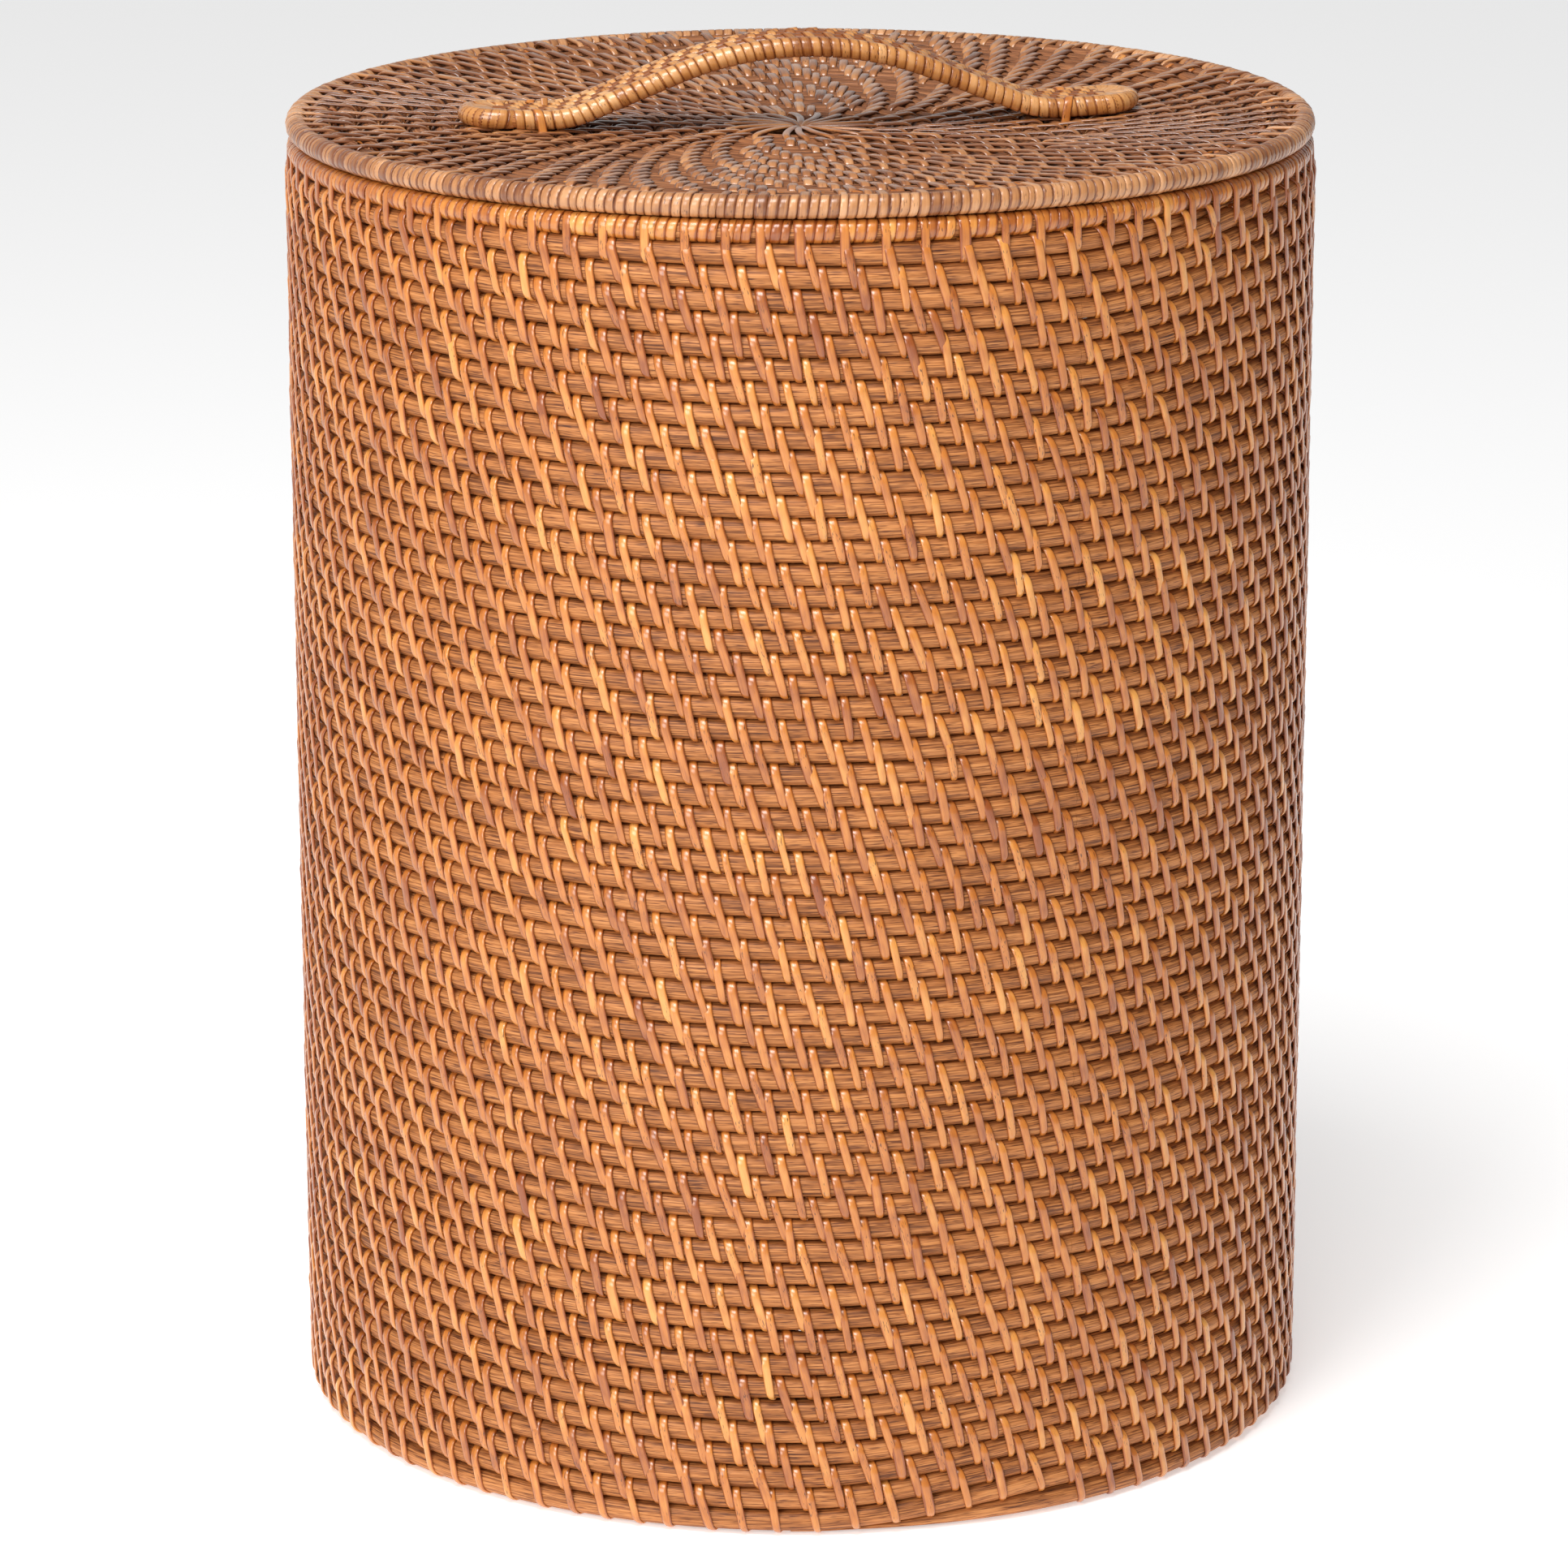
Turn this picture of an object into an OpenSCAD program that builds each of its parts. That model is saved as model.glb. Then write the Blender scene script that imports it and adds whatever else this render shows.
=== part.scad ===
// Round lidded laundry basket, coiled from rattan rod and sewn with split rattan peel.
// Millimetres, +Z up. The origin is on the floor, at the middle of the foot.

/* [Rattan] */
// Diameter of the rod that is coiled into the wall, the base and the lid
rod_d = 8.6; // [7:0.1:10]
// Gap that the sewing keeps between one course of rod and the next
course_gap = 0.8; // [0.6:0.1:1.2]
// Thickness of the peel that sews the courses together
sewing_t = 0.9; // [0.6:0.1:1.2]
// Width of the band of sewing that runs through each gap, at the middle of the rods
seam_w = 3; // [2:0.1:4]

/* [Basket] */
// Outer diameter over the sewing
outer_d = 444; // [340:1:540]
// Number of courses in the wall, below the rim
wall_courses = 59; // [35:1:72]
// Half the width of the flat that the lowest course stands on
foot_half_w = 2; // [1:0.1:3]
// Height of the base's middle above its edge
base_lift = 5; // [2:0.5:12]
// Height of the base's underside above the floor, at its edge
base_clear = 0.4; // [0.2:0.1:3]

/* [Rims] */
// Diameter of the rod inside each of the two rims
rim_rod_d = 8; // [6.5:0.1:8.6]
// Thickness of the peel wrapped round a rim
rim_wrap_t = 0.9; // [0.6:0.1:1.2]

/* [Lid] */
// Depth that the lid's middle is dished below its rim
lid_dish = 9; // [4:0.5:16]
// Gap between the lid's rim and the basket's rim
lid_seat_gap = 0.3; // [0.2:0.1:1]
// Diameter of the rod of the ring that keeps the lid centred
ring_rod_d = 7; // [5:0.1:9]
// Thickness of the peel wrapped round that ring
ring_wrap_t = 0.7; // [0.5:0.1:1]
// Gap all round between that ring and the wall
ring_clear = 3; // [1.5:0.1:6]
// Reach of the star of peel that starts each flat coil
star_r = 30; // [20:1:45]
// Number of strips across the star
star_strips = 9; // [6:1:12]
// Width of one strip of the star
star_strip_w = 3.6; // [2.5:0.1:5]

/* [Handle] */
// Length of the strap handle
handle_l = 297; // [220:1:360]
// Width of the strap handle
handle_w = 34; // [27:0.5:44]
// Diameter of the rod bent round the strap's edge
handle_rod_d = 7.4; // [6.5:0.1:9.5]
// Thickness of the peel woven over the strap
weave_t = 0.6; // [0.4:0.1:0.9]
// Length of the foot that lies on the lid at each end
handle_foot_l = 35; // [28:1:50]
// Rise of the strap from its feet to its crown
handle_rise = 29; // [18:0.5:40]
// Largest radius of the crown
crown_r = 150; // [80:1:220]
// Largest radius where the strap leaves its feet
bend_r = 50; // [30:1:80]
// Width of the peel ties that hold the strap down
tie_w = 3.6; // [2.5:0.1:5]
// Distance from the strap's end to its ties
tie_inset = 33; // [20:1:34]

/* [Hidden] */

core_tan = "#9a6a44";
peel_amber = "#c98a48";
peel_honey = "#d8a35c";

turn_fn = 144;
ring_fn = 48;
rod_sides = 12; // sides of the handle's swept rods
crown_steps = 5;
bend_steps = 4;
turn_steps = 12;
edge_steps = 10;
fit = 0.05; // clearance between pieces that are bound tight together

rod_r = rod_d / 2;
pitch = rod_d + course_gap;
sewn_r = rod_r + sewing_t;

// Wall: the courses' centres lie on wall_r, the first one sunk so that it stands on a flat.
wall_r = outer_d / 2 - sewn_r;
foot_z = sqrt(rod_r * rod_r - foot_half_w * foot_half_w);
function course_z(k) = foot_z + pitch * k;

// Rim: one wrapped course on top of the wall.
rim_r = rim_rod_d / 2;
wrapped_r = rim_r + rim_wrap_t;
rim_z = course_z(wall_courses - 1) + max(pitch, rod_r + wrapped_r + fit);
rim_top_z = rim_z + wrapped_r;

// A flat coil fills the circle of radius r with whole courses round a start. Its last course
// runs at r.
function flat_courses(r) = round(r / pitch);
function flat_pitch(r) = r / flat_courses(r);

// Base: raised in the middle, clear of the floor all over.
base_edge_z = sewn_r + base_clear;
base_last_r = wall_r - pitch;
function base_z(r) = base_edge_z + base_lift * (1 - pow(r / wall_r, 2));

// Lid: its wrapped rim stands on the basket's rim, and its middle is dished.
lid_rim_r = outer_d / 2 - wrapped_r;
lid_rim_z = rim_top_z + lid_seat_gap + wrapped_r;
lid_last_r = lid_rim_r - max(pitch, rod_r + wrapped_r + fit);
function lid_z(r) = lid_rim_z - lid_dish * (1 - pow(r / lid_rim_r, 2));
function lid_top_z(r) = lid_z(r) + sewn_r;

// Centring ring: hangs under the lid's outer courses, inside the wall.
ring_r = ring_rod_d / 2;
ring_wrapped_r = ring_r + ring_wrap_t;
ring_turn_r = wall_r - sewn_r - ring_clear - ring_wrapped_r;
ring_z = lid_z(ring_turn_r - ring_wrapped_r) - sewn_r - fit - ring_wrapped_r;

// Strap handle: feet that follow the dish, straight ramps and a round crown.
frame_r = handle_rod_d / 2;
strap_half_t = frame_r + weave_t;
frame_y = handle_w / 2 - strap_half_t;
inner_pitch = (frame_y - frame_r) * 2 / 3;
inner_gap = 0.2;
weave_slit = 0.4;
inner_r = (inner_pitch - inner_gap) / 2;
foot_x = handle_l / 2 - handle_foot_l;
foot_turn = handle_foot_l - handle_w / 2;
// The edge rod turns in straight steps, whose middles lie this far inside its curve.
turn_sag = frame_y * (1 - cos(90 / turn_steps));
weave_top = inner_r + weave_t;
foot_rise = lid_top_z(handle_l / 2) - lid_top_z(foot_x);
foot_tilt = atan(foot_rise / handle_foot_l);
strap_gap = 0.3;
strap_z = lid_top_z(foot_x) + strap_gap + strap_half_t;
crown_z = strap_z + handle_rise;
// The crown and the bend share the span, so long radii are limited by it.
radii_room = (foot_x * foot_x + handle_rise * handle_rise) / (2 * handle_rise);
radii_k = min(1, 0.9 * radii_room / (crown_r + bend_r));
crown_used_r = crown_r * radii_k;
bend_used_r = bend_r * radii_k;
bend_centre = [foot_x - bend_used_r * sin(foot_tilt), strap_z + bend_used_r * cos(foot_tilt)];
crown_centre = [0, crown_z - crown_used_r];
centres_dx = bend_centre[0] - crown_centre[0];
centres_dz = bend_centre[1] - crown_centre[1];
centres_l = norm([centres_dx, centres_dz]);
ramp_a = atan2(centres_dx, centres_dz) - acos((crown_used_r + bend_used_r) / centres_l);
ramp_l = sqrt(centres_l * centres_l - pow(crown_used_r + bend_used_r, 2));
ramp_x = crown_used_r * sin(ramp_a);
ramp_z = crown_centre[1] + crown_used_r * cos(ramp_a);

// ---------- shared shapes ----------

// Turns a drawing of a radial section round the basket's axis.
module turned() {
    rotate_extrude($fn = turn_fn) children();
}

// Round section of rod radius r, at radius x and height z.
module disc_at(x, z, r) {
    translate([x, z]) circle(r = r, $fn = ring_fn);
}

// Section of a wall of n courses: the rods, and the seam that runs between them.
module wall_section(n, r, seam_half_w) {
    for (k = [0 : n - 1]) disc_at(wall_r, course_z(k), r);
    translate([wall_r - seam_half_w, foot_z])
        square([2 * seam_half_w, course_z(n - 1) - foot_z]);
}

// Section of the base's flat coil.
module base_section(r, seam_half_w) {
    p = flat_pitch(base_last_r);
    n = flat_courses(base_last_r);
    for (k = [1 : n]) disc_at(k * p, base_z(k * p), r);
    for (k = [1 : n - 1]) {
        low = base_z((k + 1) * p) - seam_half_w;
        translate([k * p, low]) square([p, 2 * seam_half_w]);
    }
}

// Section of the lid's dished coil.
module lid_section(r, seam_half_w) {
    p = flat_pitch(lid_last_r);
    n = flat_courses(lid_last_r);
    for (k = [1 : n]) disc_at(k * p, lid_z(k * p), r);
    for (k = [1 : n - 1]) {
        low = lid_z(k * p) - seam_half_w;
        translate([k * p, low]) square([p, 2 * seam_half_w]);
    }
}

// Half of a drawing, to the right of the axis, so that it can be turned.
module right_half() {
    intersection() {
        children();
        translate([0, -outer_d]) square([outer_d, 4 * outer_d]);
    }
}

// Ring of round rod with its middle at radius x and height z.
module ring_rod(x, z, r) {
    turned() disc_at(x, z, r);
}

// Peel wrapped round a ring of rod.
module ring_wrap(x, z, r, t) {
    turned() difference() {
        disc_at(x, z, r + t);
        disc_at(x, z, r + fit);
    }
}

// Star of flat strips across the start of a coil, its underside at height z.
module star(z) {
    translate([0, 0, z]) {
        for (k = [0 : star_strips - 1]) {
            rotate([0, 0, 180 * k / star_strips])
                translate([-star_r, -star_strip_w / 2, 0])
                    cube([2 * star_r, star_strip_w, sewing_t]);
        }
    }
}

// Rounded start of a flat coil, cut short above and below so that the sewing covers it.
module coil_start(z) {
    translate([0, 0, z]) sphere(r = rod_r, $fn = ring_fn);
}

// Stations of the strap's middle line from the crown to where the foot starts.
// Each is [x, z, fall], with the fall in degrees, positive where the strap goes down outward.
function half_stations() = concat(
    [for (i = [0 : crown_steps])
        let (a = ramp_a * i / crown_steps)
        [crown_used_r * sin(a), crown_centre[1] + crown_used_r * cos(a), a]],
    [for (i = [0 : bend_steps])
        let (a = ramp_a - (ramp_a + foot_tilt) * i / bend_steps)
        [bend_centre[0] - bend_used_r * sin(a), bend_centre[1] - bend_used_r * cos(a), a]]);

// The same line carried on for a length along the foot.
function half_line(l) = concat(half_stations(),
    [[foot_x + l * cos(foot_tilt), strap_z + l * sin(foot_tilt), -foot_tilt]]);

function reversed(v) = [for (i = [len(v) - 1 : -1 : 0]) v[i]];
function after_first(v) = [for (i = [1 : len(v) - 1]) v[i]];

// The whole line, from the left foot over the crown to the right foot.
function strap_line(l) = let (half = half_line(l))
    concat([for (s = reversed(after_first(half))) [-s[0], s[1], -s[2]]], half);

// A point of the strap: u across it and v through it, at a station.
function strap_point(s, u, v) = [s[0] + v * sin(s[2]), u, s[1] + v * cos(s[2])];

// Faces that join ring i to ring j of n points each.
function skin_faces(i, j, n) = [for (k = [0 : n - 1])
    [i * n + k, i * n + (k + 1) % n, j * n + (k + 1) % n, j * n + k]];

// Faces that close ring i, in strips between its first half and its second half.
function end_faces(i, n) = [for (k = [0 : n / 2 - 2])
    [i * n + k, i * n + k + 1, i * n + n - 2 - k, i * n + n - 1 - k]];

// Sweeps a section, listed as [across, through] counter-clockwise, along the strap.
module strap_sweep(section, l) {
    line = strap_line(l);
    n = len(section);
    m = len(line);
    polyhedron(
        points = [for (s = line) for (q = section) strap_point(s, q[0], q[1])],
        faces = concat(
            [for (i = [0 : m - 2]) each skin_faces(i, i + 1, n)],
            [for (f = end_faces(0, n)) reversed(f)],
            end_faces(m - 1, n)),
        convexity = 6);
}

// Points of an arc of radius r about [u, v], from angle a to angle b.
function arc(u, v, r, a, b, steps) = [for (i = [0 : steps])
    let (t = a + (b - a) * i / steps) [u + r * cos(t), v + r * sin(t)]];

// Places a piece in the foot's own frame: +X outward along the foot, origin where the bend ends.
module at_foot() {
    translate([foot_x, 0, strap_z]) rotate([0, -foot_tilt, 0]) children();
}

// Both halves of something drawn for the right-hand half.
module both_ways() {
    children();
    mirror([1, 0, 0]) children();
}

// One straight inner rod of the strap at y, carried over the whole arch.
module inner_rod(y) {
    room = pow(frame_y - strap_half_t - inner_gap, 2) - pow(abs(y) + inner_r, 2);
    reach = sqrt(max(0, room));
    section = [for (t = [0 : 360 / rod_sides : 359]) [y + inner_r * cos(t), inner_r * sin(t)]];
    strap_sweep(section, foot_turn + reach);
}

// Peel ties over the strap's two edge rods, at the right-hand foot.
module edge_ties() {
    tie_r = strap_half_t + fit;
    for (side = [-1, 1]) {
        at_foot() translate([handle_foot_l - tie_inset - tie_w / 2, side * frame_y, 0])
            rotate([90, 0, 90]) linear_extrude(tie_w) difference() {
                circle(r = tie_r + weave_t, $fn = ring_fn);
                circle(r = tie_r, $fn = ring_fn);
                translate([side > 0 ? -2 * tie_r : 0, -2 * tie_r])
                    square([2 * tie_r, 2 * tie_r + weave_top + fit]);
                translate([-2 * tie_r, -2 * tie_r])
                    square([4 * tie_r, tie_r]);
            }
    }
}

// ---------- basket ----------

module base_start() {
    color(core_tan) coil_start(base_z(0));
}

module base_coil() {
    color(core_tan) turned() base_section(rod_r, seam_w / 2);
}

module base_sewing() {
    color(peel_amber) turned() right_half() difference() {
        union() {
            base_section(sewn_r, seam_w / 2);
            disc_at(0, base_z(0), sewn_r);
        }
        base_section(rod_r + fit, seam_w / 2 + fit);
        disc_at(0, base_z(0), rod_r + fit);
        wall_section(2, sewn_r + fit, seam_w / 2);
    }
}

module base_star() {
    color(peel_amber) star(base_z(0) + sewn_r + fit);
}

module wall_coil() {
    color(core_tan) turned() intersection() {
        wall_section(wall_courses, rod_r, seam_w / 2);
        square([outer_d, rim_top_z]);
    }
}

module wall_sewing() {
    color(peel_amber) turned() intersection() {
        difference() {
            wall_section(wall_courses, sewn_r, seam_w / 2);
            wall_section(wall_courses, rod_r + fit, seam_w / 2 + fit);
            disc_at(wall_r, rim_z, wrapped_r + fit);
        }
        square([outer_d, rim_top_z]);
    }
}

module rim_rod() {
    color(core_tan) ring_rod(wall_r, rim_z, rim_r);
}

module rim_wrap() {
    color(peel_honey) ring_wrap(wall_r, rim_z, rim_r, rim_wrap_t);
}

// ---------- lid ----------

module lid_start() {
    color(core_tan) coil_start(lid_z(0));
}

module lid_coil() {
    color(core_tan) turned() lid_section(rod_r, seam_w / 2);
}

module lid_sewing() {
    color(peel_amber) turned() right_half() difference() {
        union() {
            lid_section(sewn_r, seam_w / 2);
            disc_at(0, lid_z(0), sewn_r);
        }
        lid_section(rod_r + fit, seam_w / 2 + fit);
        disc_at(0, lid_z(0), rod_r + fit);
        disc_at(lid_rim_r, lid_rim_z, wrapped_r + fit);
    }
}

module lid_star() {
    color(peel_amber) star(lid_top_z(star_r) + fit);
}

module lid_rim_rod() {
    color(core_tan) ring_rod(lid_rim_r, lid_rim_z, rim_r);
}

module lid_rim_wrap() {
    color(peel_honey) ring_wrap(lid_rim_r, lid_rim_z, rim_r, rim_wrap_t);
}

module lid_ring_rod() {
    color(core_tan) ring_rod(ring_turn_r, ring_z, ring_r);
}

module lid_ring_wrap() {
    color(peel_amber) ring_wrap(ring_turn_r, ring_z, ring_r, ring_wrap_t);
}

// ---------- handle ----------

// Stations round half of the edge rod, front crown to back crown by the right-hand foot.
// Each is [middle, outward, up].
function frame_half() = let (
        line = half_line(foot_turn),
        front = [for (s = line) [[s[0], -frame_y, s[1]], [0, -1, 0], [sin(s[2]), 0, cos(s[2])]]],
        back = [for (s = reversed(line))
            [[s[0], frame_y, s[1]], [0, 1, 0], [sin(s[2]), 0, cos(s[2])]]],
        last = line[len(line) - 1],
        along = [cos(foot_tilt), 0, sin(foot_tilt)],
        up = [-sin(foot_tilt), 0, cos(foot_tilt)],
        turn = [for (i = [1 : turn_steps - 1])
            let (t = -90 + 180 * i / turn_steps, out = cos(t) * along + [0, sin(t), 0])
            [[last[0], 0, last[1]] + frame_y * out, out, up]])
    concat(front, turn, back);

function mirrored(v) = [-v[0], v[1], v[2]];

// The whole loop of the edge rod, without the two stations at the crown twice.
function frame_loop() = let (half = frame_half(), back = reversed(half))
    concat(half, [for (i = [1 : len(back) - 2])
        [mirrored(back[i][0]), mirrored(back[i][1]), mirrored(back[i][2])]]);

module handle_frame() {
    loop = frame_loop();
    m = len(loop);
    color(core_tan) polyhedron(
        points = [for (s = loop) for (t = [0 : 360 / rod_sides : 359])
            s[0] + frame_r * cos(t) * s[1] + frame_r * sin(t) * s[2]],
        faces = [for (i = [0 : m - 1]) each [for (f = skin_faces(i, (i + 1) % m, rod_sides))
            reversed(f)]],
        convexity = 6);
}

module handle_rod_front() {
    color(core_tan) inner_rod(-inner_pitch);
}

module handle_rod_middle() {
    color(core_tan) inner_rod(0);
}

module handle_rod_back() {
    color(core_tan) inner_rod(inner_pitch);
}

// Section of the woven skin as [across, through] points: round the two edge rods and flat
// over the inner rods, with a slit under the middle, where the peel's ends are tucked in.
function weave_section() = let (
        low = -weave_top,
        outer_a = asin(weave_top / strap_half_t),
        inner_a = asin((inner_r + fit) / (frame_r + fit)),
        hole_r = (frame_r + fit) / cos((180 - inner_a) / edge_steps))
    concat(
        [[weave_slit / 2, low]],
        arc(frame_y, 0, strap_half_t, outer_a - 180, 180 - outer_a, edge_steps),
        arc(-frame_y, 0, strap_half_t, outer_a, 360 - outer_a, edge_steps),
        [[-weave_slit / 2, low], [-weave_slit / 2, -inner_r - fit]],
        arc(-frame_y, 0, hole_r, 360 - inner_a, inner_a, edge_steps),
        arc(frame_y, 0, hole_r, 180 - inner_a, inner_a - 180, edge_steps),
        [[weave_slit / 2, -inner_r - fit]]);

module handle_weave() {
    color(peel_honey) strap_sweep(weave_section(), foot_turn - fit);
}

module handle_end_wraps() {
    color(peel_honey) both_ways() at_foot() translate([foot_turn, 0, 0])
        rotate([0, 0, -90]) rotate_extrude(angle = 180, $fn = turn_fn) difference() {
            disc_at(frame_y, 0, strap_half_t);
            disc_at(frame_y, 0, frame_r + turn_sag + fit);
        }
}

module handle_tie_left() {
    color(peel_amber) mirror([1, 0, 0]) edge_ties();
}

module handle_tie_right() {
    color(peel_amber) edge_ties();
}

base_start();
base_coil();
base_sewing();
base_star();
wall_coil();
wall_sewing();
rim_rod();
rim_wrap();
lid_start();
lid_coil();
lid_sewing();
lid_star();
lid_rim_rod();
lid_rim_wrap();
lid_ring_rod();
lid_ring_wrap();
handle_frame();
handle_rod_front();
handle_rod_middle();
handle_rod_back();
handle_weave();
handle_end_wraps();
handle_tie_left();
handle_tie_right();
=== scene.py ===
"""A coiled rattan laundry basket with a dished lift-off lid and a woven strap handle.

Every course, stitch, wrap and crossing of the weave is real geometry, swept as strips
along lines worked out from the frame. All lengths are in metres.
"""
import logging
import math
from dataclasses import dataclass, field
from enum import Enum

import bpy
import numpy as np
from mathutils import Euler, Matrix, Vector


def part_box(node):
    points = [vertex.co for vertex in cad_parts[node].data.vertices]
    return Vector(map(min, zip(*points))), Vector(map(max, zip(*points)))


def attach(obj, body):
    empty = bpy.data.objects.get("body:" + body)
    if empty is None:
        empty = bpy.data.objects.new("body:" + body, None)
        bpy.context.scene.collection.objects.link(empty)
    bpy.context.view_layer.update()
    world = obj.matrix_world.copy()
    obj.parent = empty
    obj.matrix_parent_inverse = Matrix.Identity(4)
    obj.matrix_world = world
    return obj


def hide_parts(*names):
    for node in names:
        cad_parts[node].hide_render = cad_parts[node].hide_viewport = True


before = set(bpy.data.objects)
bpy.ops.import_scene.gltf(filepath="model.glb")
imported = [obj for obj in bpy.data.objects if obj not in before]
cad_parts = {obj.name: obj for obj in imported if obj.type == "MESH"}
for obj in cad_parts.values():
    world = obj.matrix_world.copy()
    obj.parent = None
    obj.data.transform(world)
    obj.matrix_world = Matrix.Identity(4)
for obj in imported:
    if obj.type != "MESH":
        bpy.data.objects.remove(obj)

log = logging.getLogger("basket")

Array = np.ndarray
MM = 0.001
TURN = 2 * math.pi
MOST_TRIANGLES = 190_000  # in one piece
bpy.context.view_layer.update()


# ---------------------------------------------------------------- small maths


def unit(v: Array) -> Array:
    """Vectors scaled to length one along their last axis."""
    return v / np.maximum(np.linalg.norm(v, axis=-1, keepdims=True), 1e-12)


def ease(x: Array) -> Array:
    """A smooth step from 0 to 1 while x goes from 0 to 1."""
    x = np.clip(x, 0.0, 1.0)
    return x * x * (3 - 2 * x)


def wander(x: Array, seed: int, waves: int = 5) -> Array:
    """A smooth unevenness of about -1 to 1.

    Args:
        x: places along the line; the unevenness changes over steps of about one.
        seed: which unevenness.
        waves: how many waves are laid over each other.

    Returns:
        The unevenness at each place.
    """
    rng = np.random.default_rng(seed)
    total = np.zeros_like(np.asarray(x, float))
    for rate, phase in zip(rng.uniform(0.5, 2.6, waves), rng.uniform(0, TURN, waves)):
        total += np.sin(x * rate + phase)
    return total / math.sqrt(waves) / 1.4


def around(angle: Array, radius: Array, height: Array) -> Array:
    """Points at an angle, a radius and a height round the basket's axis."""
    angle, radius, height = np.broadcast_arrays(angle, radius, height)
    return np.stack([radius * np.cos(angle), radius * np.sin(angle), height], axis=-1)


# ------------------------------------------------------------- swept geometry


class Profile(Enum):
    """Cross-sections, as points across (-1 to 1) and up (0 to 1), counter-clockwise."""

    PEEL = ((-0.95, -0.12), (0.95, -0.12), (1.0, 0.48), (0.72, 0.86), (0.26, 1.0),
            (-0.26, 1.0), (-0.72, 0.86), (-1.0, 0.48))
    WRAP = ((-0.97, -0.12), (0.97, -0.12), (1.0, 0.60), (0.80, 0.93), (0.28, 1.0),
            (-0.28, 1.0), (-0.80, 0.93), (-1.0, 0.60))
    PLAIN_PEEL = ((-0.94, -0.12), (0.94, -0.12), (1.0, 0.45), (0.45, 1.0), (-0.45, 1.0),
                  (-1.0, 0.45))

    def points(self) -> Array:
        """The section as an array of points."""
        return np.array(self.value)


def round_section(sides: int) -> Array:
    """A round section whose first point faces a neighbour, where its seam is hidden."""
    angle = np.arange(sides) / sides * TURN
    return np.stack([np.cos(angle), np.sin(angle)], axis=-1)


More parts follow.
